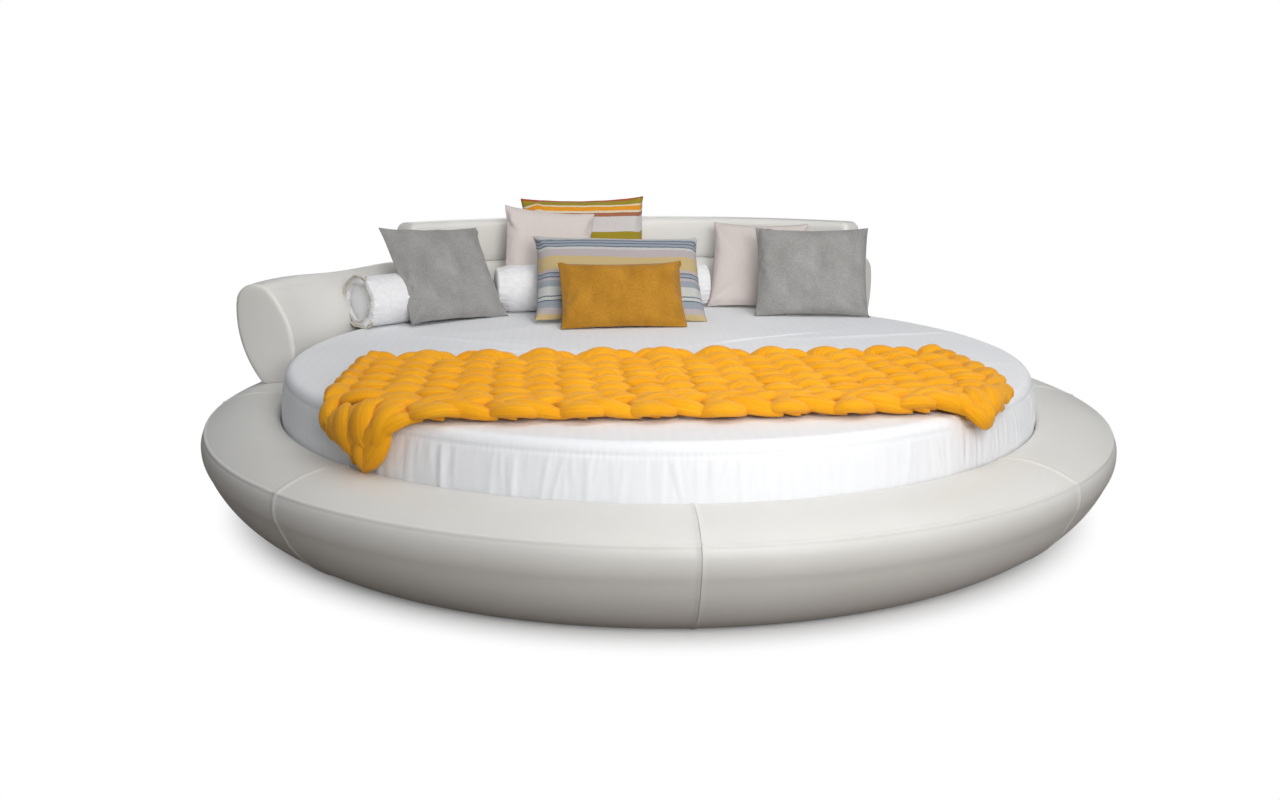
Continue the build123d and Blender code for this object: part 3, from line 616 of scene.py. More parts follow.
def ring_cover(number):
    """One upholstered panel as a closed shell."""
    along = steps_from_ends(PANEL_ARC - 2 * SEAM_GAP, 1.5 * MM, 26 * MM, 90 * MM) + SEAM_GAP
    coarse = np.arange(0, RING_PROFILE.length, 7 * MM)
    coarse = coarse[np.abs(coarse - SHOULDER_AT) > 9.5 * MM]
    fine = SHOULDER_AT + np.linspace(-9, 9, 13) * MM
    at = np.unique(np.concatenate([coarse, fine, [RING_PROFILE.length]]))
    grid_at, grid_along = np.meshgrid(at, along, indexing="ij")
    angle, outer, normal = ring_surface(grid_at, grid_along, number)
    inner = outer - normal * COVER_T
    skin = place_round(angle, outer[..., 0], np.maximum(outer[..., 1], FLOOR_GAP))
    lining = place_round(angle, inner[..., 0], np.maximum(inner[..., 1], FLOOR_GAP + 1 * MM))
    loop = np.concatenate([skin, lining[::-1]], axis=0)
    rows, columns = loop.shape[:2]
    faces = grid_faces(rows, columns, wrap_rows=True)
    for column, flip in ((0, False), (columns - 1, True)):
        for row in range(rows // 2 - 1):
            facing = rows - 1 - row
            quad = [index * columns + column for index in (row, row + 1, facing - 1, facing)]
            faces.append(quad[::-1] if flip else quad)
    piece = make_piece("ring_cover_%d" % (number + 1), loop.reshape(-1, 3), faces, LEATHER, BASE)
    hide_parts("ring_panel_%d" % (number + 1))


def ring_point(at, along, number):
    """One point of a ring cover and its outward direction."""
    angle, outer, normal = ring_surface(np.array([at]), np.array([along]), number)
    point = place_round(angle, outer[:, 0], outer[:, 1])[0]
    outward = np.array([math.sin(angle[0]) * normal[0, 0], math.cos(angle[0]) * normal[0, 0], normal[0, 1]])
    return point, outward


def stitch(number, first, second):
    """A short thread bow between two places on a ring cover, sunk at both ends."""
    start, outward = ring_point(*first, number)
    end, _ = ring_point(*second, number)
    lift = outward * STITCH_R
    middle = (start + end) / 2 + lift * 0.5
    points = [start - lift * 0.6, start + lift * 0.3, middle, end + lift * 0.3, end - lift * 0.6]
    return tube(points, STITCH_R, sides=6)


def seam_stitches(number):
    """Two rows of topstitching along the seam at a panel's start."""
    start_at = RING_PROFILE.near(LIP_LOW) + 4 * MM
    rows = ((number, TOPSTITCH_OFFSET), ((number - 1) % PANELS, PANEL_ARC - TOPSTITCH_OFFSET))
    return [stitch(panel, (at, along), (at + STITCH_LEN, along)) for panel, along in rows
            for at in np.arange(start_at, RING_PROFILE.length - STITCH_LEN, STITCH_PITCH)]


def shoulder_stitches(number):
    """One row of topstitching just under the shoulder seam of a panel."""
    at = SHOULDER_AT + 5 * MM
    return [stitch(number, (at, along), (at, along + STITCH_LEN))
            for along in np.arange(12 * MM, PANEL_ARC - 12 * MM - STITCH_LEN, STITCH_PITCH)]


def build_ring():
    for number in range(PANELS):
        ring_cover(number)
        verts, faces = join_parts(seam_stitches(number) + shoulder_stitches(number))
        piece = make_piece("ring_stitches_%d" % (number + 1), verts, faces, LEATHER_THREAD, BASE)


# Roll

ROLL_PROFILE = Profile(np.vstack([
    bowed(ROLL_FOOT_OUT, ROLL_OUT_TOP, ROLL_OUT_BOW),
    bowed(ROLL_OUT_TOP, ROLL_IN_TOP, ROLL_TOP_BOW),
    bowed(ROLL_IN_TOP, ROLL_FOOT_IN, ROLL_IN_BOW),
]), round_over=9 * MM, closed=True)
ROLL_EDGES = (ROLL_PROFILE.near(ROLL_OUT_TOP), ROLL_PROFILE.near(ROLL_IN_TOP))
ROLL_SEAM_DRAW, ROLL_SEAM_REACH = 5 * MM, 16 * MM
ROLL_EDGE_DRAW, ROLL_EDGE_REACH = 1.2 * MM, 2.5 * MM
ROLL_WANDER, ROLL_WANDER_REACH = 0.8 * MM, 30 * MM
ROLL_MID_R = 1.23
ROLL_REST_Z = 0.275
ROLL_SAG, ROLL_SAG_AT, ROLL_SAG_REACH = 17 * MM, -59.0, 11.0
SAG_LOW_Z, SAG_HIGH = 0.42, 0.14
CORD_R, CORD_OUT, CORD_SHARE, CORD_LOW_Z = 2.6 * MM, 2.5 * MM, 0.985, 0.271
END_DOME, SEAM_DOME = 12 * MM, 0.5 * MM
LAST_ROLL = len(ROLL_NAMES) - 1


def roll_span(number):
    """Start angle of a roll module in radians, and its length."""
    start, end = (math.radians(a) for a in ROLL_ANGLES[number:number + 2])
    return start, (end - start) * ROLL_MID_R


def roll_surface(at, along, number):
    """Compass angles and section points of a roll module at lengths along it from its start."""
    start, arc = roll_span(number)
    place, normal = ROLL_PROFILE.read(at)
    # A free end has no seam, so it counts as a metre away
    to_seam = np.minimum(along + (number == 0), arc - along + (number == LAST_ROLL))
    puff = -ROLL_SEAM_DRAW * hump(to_seam, ROLL_SEAM_REACH)
    puff = puff + ROLL_WANDER * waves(at * 120, number + 51) * np.exp(-to_seam / ROLL_WANDER_REACH)
    for edge in ROLL_EDGES:
        puff = puff - ROLL_EDGE_DRAW * hump(at - edge, ROLL_EDGE_REACH)
    puff = np.where(place[..., 1] < ROLL_REST_Z, np.minimum(puff, 0), puff)
    outer = place + normal * puff[..., None]
    angle = start + along / ROLL_MID_R
    sag = ROLL_SAG * hump(np.degrees(angle) - ROLL_SAG_AT, ROLL_SAG_REACH)
    high = np.clip((place[..., 1] - SAG_LOW_Z) / SAG_HIGH, 0, 1)
    return angle, outer - np.stack([np.zeros_like(sag), sag * high ** 2], axis=-1)


def roll_cover(number):
    """One module of the roll, closed by gently domed ends."""
    _, arc = roll_span(number)
    along = steps_from_ends(arc - 2 * SEAM_GAP, 2 * MM, 28 * MM, 90 * MM) + SEAM_GAP
    fine = [edge + step * MM for edge in ROLL_EDGES for step in (-6, -4, -2.5, -1.2, 0, 1.2, 2.5, 4, 6)]
    coarse = np.arange(0, ROLL_PROFILE.length - 4 * MM, 8 * MM)
    coarse = [value for value in coarse if min(abs(value - edge) for edge in ROLL_EDGES) > 7 * MM]
    at = np.unique(np.concatenate([coarse, fine]))
    grid_at, grid_along = np.meshgrid(at, along, indexing="ij")
    angle, outer = roll_surface(grid_at, grid_along, number)
    skin = place_round(angle, outer[..., 0], outer[..., 1])
    rows, columns = skin.shape[:2]
    parts = [(skin.reshape(-1, 3), grid_faces(rows, columns, wrap_rows=True))]
    ends = ((0, -1, number == 0), (columns - 1, 1, number == LAST_ROLL))
    for column, direction, free in ends:
        dome = END_DOME if free else SEAM_DOME
        parts.append(end_cap(outer[:, column], angle[0, column], direction, dome))
    verts, faces = join_parts(parts)
    name = ROLL_NAMES[number]
    piece = make_piece("roll_cover_" + name, verts, faces, LEATHER, BASE)
    merge_near(piece)
    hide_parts("roll_" + name)
    for column, direction, free in ends:
        if free:
            roll_piping(name, outer[:, column], angle[0, column], direction)


def end_cap(outline, angle, direction, dome):
    """Rings of a section's outline that shrink to its middle and stand out as a dome."""
    middle = outline.mean(axis=0)
    shares = (1.0, 0.996, 0.985, 0.965, 0.93, 0.86, 0.76, 0.64, 0.5, 0.35, 0.18, 0.02)
    rings = []
    for share in shares:
        section = middle + (outline - middle) * share
        out = dome * (1 - share ** 24) ** 0.5
        turn = angle + direction * out / section[:, 0]
        rings.append(place_round(turn, section[:, 0], section[:, 1]))
    count = len(outline)
    faces = grid_faces(len(shares), count, wrap_columns=True) + [last_row(len(shares), count)]
    if direction < 0:
        faces = [face[::-1] for face in faces]
    return np.vstack(rings), faces


def roll_piping(word, outline, angle, direction):
    """Corded edge round a free end of the roll, left out where the roll stands on the ring."""
    middle = outline.mean(axis=0)
    section = middle + (outline - middle) * CORD_SHARE
    turn = angle + direction * CORD_OUT / section[:, 0]
    path = place_round(turn, section[:, 0], section[:, 1])
    keep = section[:, 1] > CORD_LOW_Z
    runs = np.flatnonzero(~keep)
    if len(runs):
        path = np.roll(path, -runs[-1] - 1, axis=0)[:keep.sum()] if runs[-1] + 1 < len(path) else path[keep]
    verts, faces = tube(path, CORD_R)
    piece = make_piece("roll_cord_" + word, verts, faces, LEATHER, BASE)
    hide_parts("roll_piping_" + word, "roll_end_" + word)


# Headrest

TOP_CORNER_R, FACE_EDGE_R, HEADREST_CROWN = 32 * MM, 22 * MM, 5 * MM
HEADREST_SEAT_Z = 0.6


def roll_top(radius):
    """Height of the roll's top at a radius."""
    points = ROLL_PROFILE.points
    return points[np.abs(points[:, 0] - radius) < 1.5 * MM, 1].max(initial=0.0)


def build_headrest():
    """Rounded block, made straight and bent round the head."""
    length = math.radians(HEADREST_END - HEADREST_START) * HEADREST_IN_R
    depth, height = HEADREST_OUT_R - HEADREST_IN_R, HEADREST_TOP_Z - HEADREST_LOW_Z
    mesh = bmesh.new()
    bmesh.ops.create_cube(mesh, size=1.0)
    for vert in mesh.verts:
        vert.co = Vector((vert.co.x * length, vert.co.y * depth, vert.co.z * height))
    corners = [edge for edge in mesh.edges
               if all(v.co.z > 0 for v in edge.verts) and abs(edge.verts[0].co.y - edge.verts[1].co.y) > 0.01]
    bmesh.ops.bevel(mesh, geom=corners, offset=TOP_CORNER_R, segments=8, profile=0.5, affect="EDGES")
    rim = [edge for edge in mesh.edges
           if abs(abs(edge.verts[0].co.y) - depth / 2) < 1e-5
           and abs(edge.verts[0].co.y - edge.verts[1].co.y) < 1e-5
           and max(v.co.z for v in edge.verts) > -height / 2 + 1e-4]
    bmesh.ops.bevel(mesh, geom=rim, offset=FACE_EDGE_R, segments=7, profile=0.5, affect="EDGES")
    cuts = [((place, 0, 0), (1, 0, 0)) for place in np.arange(-length / 2, length / 2, 25 * MM)[1:]]
    cuts += [((0, 0, level), (0, 0, 1)) for level in np.linspace(-height / 2, height / 2 - 24 * MM, 9)[1:-1]]
    for place, normal in cuts:
        geometry = list(mesh.verts) + list(mesh.edges) + list(mesh.faces)
        bmesh.ops.bisect_plane(mesh, geom=geometry, plane_co=place, plane_no=normal)
    for vert in mesh.verts:
        x, y, z = vert.co
        crown = HEADREST_CROWN * (1 - (2 * x / length) ** 8) * (1 - (2 * z / height) ** 4)
        y += math.copysign(crown, y) if abs(y) > depth / 2 - 4 * MM else 0
        angle = x / HEADREST_IN_R + math.radians(HEADREST_START + HEADREST_END) / 2
        radius = (HEADREST_IN_R + HEADREST_OUT_R) / 2 + y
        level = z + (HEADREST_LOW_Z + HEADREST_TOP_Z) / 2
        if level < HEADREST_SEAT_Z:
            level = max(level, roll_top(radius) + 0.5 * MM)
        vert.co = Vector((radius * math.sin(angle), radius * math.cos(angle), level))
    data = bpy.data.meshes.new("headrest_cover")
    bmesh.ops.recalc_face_normals(mesh, faces=mesh.faces)
    mesh.to_mesh(data)
    mesh.free()
    piece = put_in("headrest_cover", data, LEATHER, BASE)
    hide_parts("headrest")


# Fitted sheet

SHEET_T = 2.2 * MM
SHEET_SEAM_DROP = 24 * MM
SHEET_SIDE_R = 1.1
SHEET_PROFILE = Profile(np.vstack([
    [(0.0, BED_TOP_Z), (1.056, BED_TOP_Z)],
    bowed((1.058, BED_TOP_Z), (1.083, 0.3735), -5 * MM),
    bowed((1.083, 0.3735), (1.0995, 0.262), -4.4 * MM),
    [(1.0995, SHEET_HEM_Z)],
]), round_over=3 * MM)
SHEET_EDGE_AT = SHEET_PROFILE.near((1.075, 0.385))
SHEET_SEAM_AT = SHEET_EDGE_AT + SHEET_SEAM_DROP


def skirt_folds(angle, below):
    """Many soft upright folds of different width and reach that start at the seam."""
    own = np.random.default_rng(21)
    total = np.zeros_like(angle)
    for _ in range(560):
        at, width = own.uniform(-math.pi, math.pi), own.uniform(3, 10) * MM / SHEET_SIDE_R
        lean, reach = own.normal(0, 0.022), own.uniform(0.35, 1.5)
        off = np.angle(np.exp(1j * (angle - at - lean * below)))
        total += own.uniform(-1.7, 2.7) * MM * np.exp(-(off / width) ** 2 - (below / reach) ** 4)
    return total * np.clip(below * 5, 0, 1) ** 0.7


def sheet_fullness(angle):
    """How much the skirt is gathered: little on the left, most in front and on the right."""
    return 1.0 - 0.8 * hump(np.degrees(angle) + 100, 34)


def top_creases(x, y):
    """Soft long creases of the made bed."""
    own = np.random.default_rng(5)
    total = np.zeros_like(x)
    for _ in range(26):
        heading = own.normal(0.0, 0.35)
        middle_x, middle_y = own.uniform(-0.9, 0.9, 2)
        along, across = turned(x - middle_x, y - middle_y, heading)
        bend = 0.03 * np.sin(along * own.uniform(2, 5) + own.uniform(0, TURN))
        width, reach = own.uniform(0.008, 0.022), own.uniform(0.15, 0.45)
        total += own.uniform(2.0, 5.5) * MM * hump(across - bend, width, along, reach)
    return total


def build_sheet():
    """Stretched cover: smooth top with soft creases, a seam under the edge and a gathered skirt."""
    columns = 1400
    inner = np.linspace(0.02, SHEET_EDGE_AT - 30 * MM, 34)
    outer = np.arange(SHEET_EDGE_AT - 26 * MM, SHEET_PROFILE.length, 4.5 * MM)
    at = np.concatenate([inner, outer, [SHEET_PROFILE.length]])
    angle = np.linspace(-math.pi, math.pi, columns, endpoint=False)
    grid_at, grid_angle = np.meshgrid(at, angle, indexing="ij")
    place, inward = SHEET_PROFILE.read(grid_at)
    from_seam = grid_at - SHEET_SEAM_AT
    folds = skirt_folds(grid_angle, np.clip(from_seam / (150 * MM), 0, 1))
    ruffle = np.sin(grid_angle * 520 + 2 * np.sin(grid_angle * 31)) * hump(from_seam, 16 * MM)
    rise = (folds + 0.9 * MM * ruffle) * sheet_fullness(grid_angle)
    rise -= 1.8 * MM * hump(from_seam, 3.5 * MM)
    x, y = place[..., 0] * np.sin(grid_angle), place[..., 0] * np.cos(grid_angle)
    rise += top_creases(x, y) * np.clip((SHEET_EDGE_AT - grid_at) / 0.06, 0, 1)
    rise = np.minimum(rise, 5.5 * MM)
    moved = place - inward * rise[..., None]
    skin = place_round(grid_angle, moved[..., 0], moved[..., 1])
    thin = moved + inward * SHEET_T
    lining = place_round(grid_angle, thin[..., 0], thin[..., 1])
    rows = len(at)
    verts = np.concatenate([skin.reshape(-1, 3), lining.reshape(-1, 3)])
    start = rows * columns
    faces = grid_faces(rows, columns, wrap_columns=True)
    faces += [face[::-1] for face in grid_faces(rows, columns, wrap_columns=True, start=start)]
    rim = (rows - 1) * columns
    for i in range(columns):
        j = (i + 1) % columns
        faces.append([rim + i, rim + j, start + rim + j, start + rim + i])
    faces.append(list(range(columns))[::-1])
    faces.append([start + i for i in range(columns)])
    piece = make_piece("sheet", verts, faces, COTTON, BED)
    merge_near(piece)
    skirt = grid_at > SHEET_EDGE_AT
    u = np.where(skirt, grid_angle * SHEET_SIDE_R, x)
    v = np.where(skirt, grid_at, y)
    flat_uv = np.stack([u, v], axis=-1).reshape(-1, 2)
    set_uv(piece, np.concatenate([flat_uv, flat_uv]))
    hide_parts("fitted_sheet")


# Bolsters

BOLSTER_R = 0.086
LEFT_BOLSTER = ((-0.778, 0.652), -45.5, 0.496)
CENTRE_BOLSTER = ((-0.143, 0.863), -9.4, 0.790)
OPEN_OVERHANG = 24 * MM

# Rings of an end: share of the radius, and how far in from the rim in millimetres
OPEN_END = ((0.985, -2), (0.95, -1), (0.94, 16))
DRAWN_END = ((0.93, -3), (0.80, -7), (0.6, -9), (0.4, -9), (0.22, -6), (0.08, 2))
PILLOW_END = ((0.90, 60), (0.90, 22), (0.88, 10), (0.82, 4), (0.68, 1), (0.5, -1), (0.3, -2), (0.12, -1))


def round_axis(middle, compass, at, radius, turn, clear):
    """Points round a bolster's axis, at lengths along it and turns from the back, clear of the bed."""
    angle = math.radians(compass)
    along = np.array([math.cos(angle), -math.sin(angle), 0.0])
    back = np.array([math.sin(angle), math.cos(angle), 0.0])
    points = (np.array([*middle, BED_TOP_Z + BOLSTER_R]) + np.asarray(at)[..., None] * along
              + np.asarray(radius * np.cos(turn))[..., None] * back)
    points[..., 2] = np.maximum(points[..., 2] + radius * np.sin(turn), BED_TOP_Z + clear)
    return points


def opening(turn):
    """Radius of the open end's edge: near the rim at the back, drawn far over the pillow in front."""
    edge = BOLSTER_R * (0.72 + 0.20 * np.cos(turn))
    return edge + 4 * MM * waves(turn, 70, 7, 2.0, 7.0) + 2 * MM * waves(turn, 71, 7, 9.0, 24.0)


def bolster_crumples(own, s, turn, length):
    """Short folds that lie in all directions on a bolster's cover."""
    total = np.zeros_like(s)
    for _ in range(34):
        at, middle_turn = own.uniform(-length / 2, length / 2), own.uniform(0, TURN)
        slant, width, reach = own.normal(0, 0.6), own.uniform(0.004, 0.012), own.uniform(0.03, 0.12)
        off = np.angle(np.exp(1j * (turn - middle_turn))) * BOLSTER_R
        along, across = turned(s - at, off, slant)
        total += own.uniform(-1.5, 2.6) * MM * hump(across, width, along, reach)
    return np.clip(total, -3 * MM, 4 * MM)


def bolster_cover(name, node, middle, compass, length, seed, open_end):
    """A crumpled cover round a long round pillow, its left end open and ragged or drawn together."""
    own = np.random.default_rng(seed)
    around, steps = 150, int(length / (5 * MM))
    turn = np.linspace(0, TURN, around, endpoint=False)
    s = np.linspace(-length / 2 - (OPEN_OVERHANG if open_end else 0), length / 2, steps)
    grid_s, grid_turn = np.meshgrid(s, turn, indexing="ij")
    to_left, to_right = grid_s - s[0], length / 2 - grid_s
    radius = BOLSTER_R - 0.012 * hump(to_right, 0.035)
    radius -= (0.002 if open_end else 0.012) * hump(to_left, 0.03)
    ends = 1.6 * MM * np.sin(26 * grid_turn + 2 * np.sin(5 * grid_turn)) * np.exp(-to_left / 0.03)
    ends += 1.6 * MM * np.sin(23 * grid_turn + 2 * np.sin(4 * grid_turn)) * np.exp(-to_right / 0.03)
    radius += bolster_crumples(own, grid_s, grid_turn, length) + ends
    if open_end:
        ragged = 6 * MM * waves(turn, seed + 3, 6, 2.0, 9.0) + 4 * MM * waves(turn, seed + 4, 6, 12.0, 30.0)
        grid_s = grid_s + ragged * np.exp(-to_left / 0.02)
    verts = [round_axis(middle, compass, grid_s, radius, grid_turn, 1.5 * MM).reshape(-1, 3)]
    uv = [np.stack([grid_s, grid_turn * BOLSTER_R], axis=-1).reshape(-1, 2)]
    faces = grid_faces(steps, around, wrap_columns=True)
    start = steps * around
    for index, sign in ((0, -1), (steps - 1, 1)):
        opened = open_end and sign < 0
        before = index * around
        for share, sink in OPEN_END if opened else DRAWN_END:
            gathers = 1 + 0.05 * np.sin(18 * turn + 2 * np.sin(3 * turn)) * (1 - share)
            ring_r = radius[index] * share * gathers
            if opened and share < 0.96:
                ring_r = opening(turn) * share / 0.95
            at = grid_s[index] - sign * sink * MM
            verts.append(round_axis(middle, compass, at, ring_r, turn, 2.5 * MM))
            uv.append(np.stack([at, turn * BOLSTER_R * share], axis=-1))
            for i in range(around):
                j = (i + 1) % around
                quad = [before + i, before + j, start + j, start + i]
                faces.append(quad if sign > 0 else quad[::-1])
            before, start = start, start + around
        faces.append([before + i for i in range(around)][::sign])
    piece = make_piece(name, np.vstack(verts), faces, CRINKLE, BED)
    set_uv(piece, np.vstack(uv))
    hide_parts(node)


def inner_pillow(middle, compass, length):
    """The puffed end of the pillow that shows in the open cover."""
    turn = np.linspace(0, TURN, 72, endpoint=False)
    rings = []
    for share, sink in PILLOW_END:
        radius = BOLSTER_R * share * (1 + 0.012 * np.sin(14 * turn + share * 3))
        rings.append(round_axis(middle, compass, -length / 2 + (sink - 16) * MM, radius, turn, 5 * MM))
    verts = np.vstack(rings)
    faces = [face[::-1] for face in grid_faces(len(rings), len(turn), wrap_columns=True)]
    faces.append(last_row(len(rings), len(turn))[::-1])
    faces.append(list(range(len(turn))))
    piece = make_piece("bolster_left_inner_pillow", verts, faces, COTTON, BED)
    set_uv(piece, verts[:, :2])


def lace_edge(middle, compass, length):
    """A ragged lace band that stands up round the open end."""
    own = np.random.default_rng(77)
    parts = []
    turn = np.linspace(0, TURN, 360, endpoint=False)
    for layer in range(2):
        radius = opening(turn) + (layer * 2.5 + 1.5 * waves(turn, 90 + layer, 6, 9.0, 26.0)) * MM
        at = -length / 2 - 26 * MM + 2.5 * MM * waves(turn, 95 + layer, 6, 4.0, 16.0)
        path = round_axis(middle, compass, at, radius, turn, 4 * MM)
        parts.append(tube(path, (1.3 + 0.5 * own.uniform(-1, 1, len(turn))) * MM, sides=7, closed=True))
    sweep = np.linspace(-2.4, 2.0, 240)
    for layer in range(3):
        radius = BOLSTER_R * 0.98 + (2 + 2 * layer + 4 * waves(sweep, 40 + layer, 6, 5.0, 14.0)) * MM
        at = -length / 2 - (24 + 3 * layer) * MM + 4 * MM * waves(sweep, 45 + layer, 6, 6.0, 20.0)
        path = round_axis(middle, compass, at, radius, sweep, 4 * MM)
        parts.append(tube(path, (2.0 + 0.7 * own.uniform(-1, 1, len(sweep))) * MM, sides=7))
    for start in own.uniform(-2.4, 2.0, 90):
        step = np.linspace(0, own.uniform(0.06, 0.16), 10)
        radius = BOLSTER_R + (1 + 8 * np.sin(np.linspace(0, math.pi, 10)) * own.uniform(0.3, 1.0)) * MM
        at = -length / 2 - own.uniform(18, 34) * MM + own.normal(0, 1.8, 10) * MM
        path = round_axis(middle, compass, at, radius, start + step, 3 * MM)
        parts.append(tube(path, own.uniform(0.9, 1.7) * MM, sides=6))
    verts, faces = join_parts(parts)
    piece = make_piece("bolster_left_lace", verts, faces, LACE, BED)


def build_bolsters():
    bolster_cover("bolster_left_cover", "bolster_left", *LEFT_BOLSTER, 61, True)
    inner_pillow(*LEFT_BOLSTER)
    lace_edge(*LEFT_BOLSTER)
    bolster_cover("bolster_centre_cover", "bolster_centre", *CENTRE_BOLSTER, 63, False)


# Scatter cushions

CLOTH_FRAMES = 20
CUSHION_REST_Z = BED_TOP_Z + 1.5 * MM


def number_quads(grid):
    """Quads between the neighbours of a grid of vertex numbers."""
    quads = np.stack([grid[:-1, :-1], grid[:-1, 1:], grid[1:, 1:], grid[1:, :-1]], -1)
    return quads.reshape(-1, 4).tolist()


class Cushion:
    """Flat two-sided cover on a grid, inflated by a cloth simulation and leant in its place.

    Its size is width, height and thickness, its foot the place on the bed, and its turn, lean and
    roll are in degrees.
    """

    cell = 9 * MM
    pull = 0.035
    pressure = 3.0
    spare, overshoot = 1.06, 1.08
    rim_flat, seam_crease = 0.35, 0.75

    def __init__(self, word, size, foot, turn, lean, roll, seed):
        self.word, self.size, self.foot, self.seed = word, size, foot, seed
        self.turn, self.lean, self.roll = (math.radians(value) for value in (turn, lean, roll))
        self.across = max(8, round(size[0] / self.cell))
        self.up = max(8, round(size[1] / self.cell))
        self.layout()

    def layout(self):
        """Vertices of both sides with one common rim, their faces and flat places."""
        across, up = self.across, self.up
        front = np.arange((across + 1) * (up + 1)).reshape(up + 1, across + 1)
        back = np.full_like(front, -1)
        back[0], back[-1], back[:, 0], back[:, -1] = front[0], front[-1], front[:, 0], front[:, -1]
        inner = back < 0
        back[inner] = front.size + np.arange(inner.sum())
        v, u = np.meshgrid(np.linspace(0, 1, up + 1), np.linspace(0, 1, across + 1), indexing="ij")
        self.uv = np.concatenate([np.stack([u, v], -1).reshape(-1, 2), np.stack([u[inner], v[inner]], -1)])
        self.rim = (self.uv % 1 == 0).any(axis=1)
        u, v = self.uv.T
        own = np.random.default_rng(self.seed)
        bulge = 4 * MM * (1 - (2 * u - 1) ** 4) * (1 - (2 * v - 1) ** 4)
        self.side = np.concatenate([-np.ones(front.size), np.ones(inner.sum())])
        depth = self.side * bulge + own.normal(0, 0.25 * MM, len(self.side))
        wide, tall, _ = self.size
        self.flat = np.stack([(u - 0.5) * wide * self.spare, depth, v * tall * self.spare], -1)
        self.faces = number_quads(front) + [face[::-1] for face in number_quads(back)]

    def start_cloth(self):
        """A temporary object with pressure and no gravity."""
        mesh = bpy.data.meshes.new("inflate_" + self.word)
        mesh.from_pydata(self.flat.tolist(), [], self.faces)
        self.object = in_scene("inflate_" + self.word, mesh)
        cloth = self.object.modifiers.new("Cloth", "CLOTH")
        values = cloth.settings
        values.quality, values.mass = 6, 0.5
        values.tension_stiffness = values.compression_stiffness = 25
        values.shear_stiffness, values.bending_stiffness = 6, 0.6
        values.use_pressure, values.uniform_pressure_force = True, self.pressure
        values.effector_weights.gravity = 0
        cloth.collision_settings.use_collision = False
        cloth.collision_settings.use_self_collision = False
        cloth.point_cache.frame_start, cloth.point_cache.frame_end = 1, CLOTH_FRAMES

    def read_cloth(self, last):
        """Keep the cover once it is as thick as the real one, or at the last frame."""
        if self.object is None:
            return
        shape = self.object.evaluated_get(bpy.context.evaluated_depsgraph_get())
        points = np.empty(len(shape.data.vertices) * 3)
        shape.data.vertices.foreach_get("co", points)
        points = points.reshape(-1, 3)
        if last or np.ptp(points[:, 1]) > self.size[2] * self.overshoot:
            self.inflated = points
            bpy.data.objects.remove(self.object)
            self.object = None

    def shaped(self, points):
        """Scale the inflated cover to its measured size and pucker it along the seam."""
        wide, tall, thick = self.size
        u, v = self.uv.T
        low, high = points.min(axis=0), points.max(axis=0)
        points = (points - (low + high) / 2) / (high - low) * np.array([wide, thick, tall])
        own = np.random.default_rng(self.seed + 9)
        for axis, span, share, other, count in ((0, wide, v, u, self.up), (2, tall, u, v, self.across)):
            line = np.round(share * count).astype(int)
            low_rim, high_rim = np.zeros(count + 1), np.zeros(count + 1)
            low_rim[line[other == 0]] = points[other == 0, axis]
            high_rim[line[other == 1]] = points[other == 1, axis]
            along = np.linspace(-1, 1, count + 1)
            pull = self.pull * tall * (1 - np.abs(along) ** 2.2)
            wobble = 1.5 * MM * waves(along * 9, own.integers(1e6), 5, 0.5, 2.0)
            new_low, new_high = -span / 2 + pull + wobble, span / 2 - pull + wobble[::-1]
            part = (points[:, axis] - low_rim[line]) / (high_rim[line] - low_rim[line])
            points[:, axis] = new_low[line] + part * (new_high[line] - new_low[line])
        points[self.rim, 1] *= self.rim_flat
        points[:, 2] += tall / 2
        u, v = u * wide, v * tall
        to_rim = np.minimum.reduce([u, wide - u, v, tall - v])
        run = np.where(np.minimum(u, wide - u) < np.minimum(v, tall - v), v, u)
        pucker = 3.2 * MM * waves(run * 190, self.seed + 5, 6, 0.5, 1.4)
        pucker = pucker * np.exp(-to_rim / (26 * MM)) * (to_rim > 0)
        points[:, 1] += self.side * (pucker + self.creases(u, v) * np.clip(to_rim / (20 * MM), 0, 1))
        return points

    def creases(self, u, v):
        """Folds that run in from the corners and a few soft dents."""
        wide, tall, _ = self.size
        own = np.random.default_rng(self.seed + 3)
        total = np.zeros_like(u)
        for corner_u, corner_v in ((0, 0), (1, 0), (0, 1), (1, 1)):
            for _ in range(4):
                heading = math.atan2((0.5 - corner_v) * tall, (0.5 - corner_u) * wide) + own.normal(0, 0.32)
                along, across = turned(u - corner_u * wide, v - corner_v * tall, heading)
                width, reach = own.uniform(0.006, 0.014), own.uniform(0.08, 0.17)
                total += own.uniform(-3.4, 3.0) * MM * hump(across, width, along - 0.05, reach)
        for _ in range(5):
            middle_u, middle_v = own.uniform(0.2, 0.8) * wide, own.uniform(0.2, 0.8) * tall
            total -= own.uniform(0, 4.0) * MM * hump(u - middle_u, 0.07, v - middle_v, 0.05)
        return total

    def placed(self, points):
        """Roll, lean and turn the cover, and stand it on the bed."""
        x, z = turned(points[:, 0], points[:, 2], -self.roll)
        y, z = turned(points[:, 1], z, self.lean)
        x, y = turned(x, y, -self.turn)
        out = np.stack([x + self.foot[0], y + self.foot[1], z + BED_TOP_Z], axis=-1)
        out[:, 2] += max(0.0, CUSHION_REST_Z - np.percentile(out[:, 2], 3)) + 1.0 * MM
        return settle_on(out, CUSHION_REST_Z)

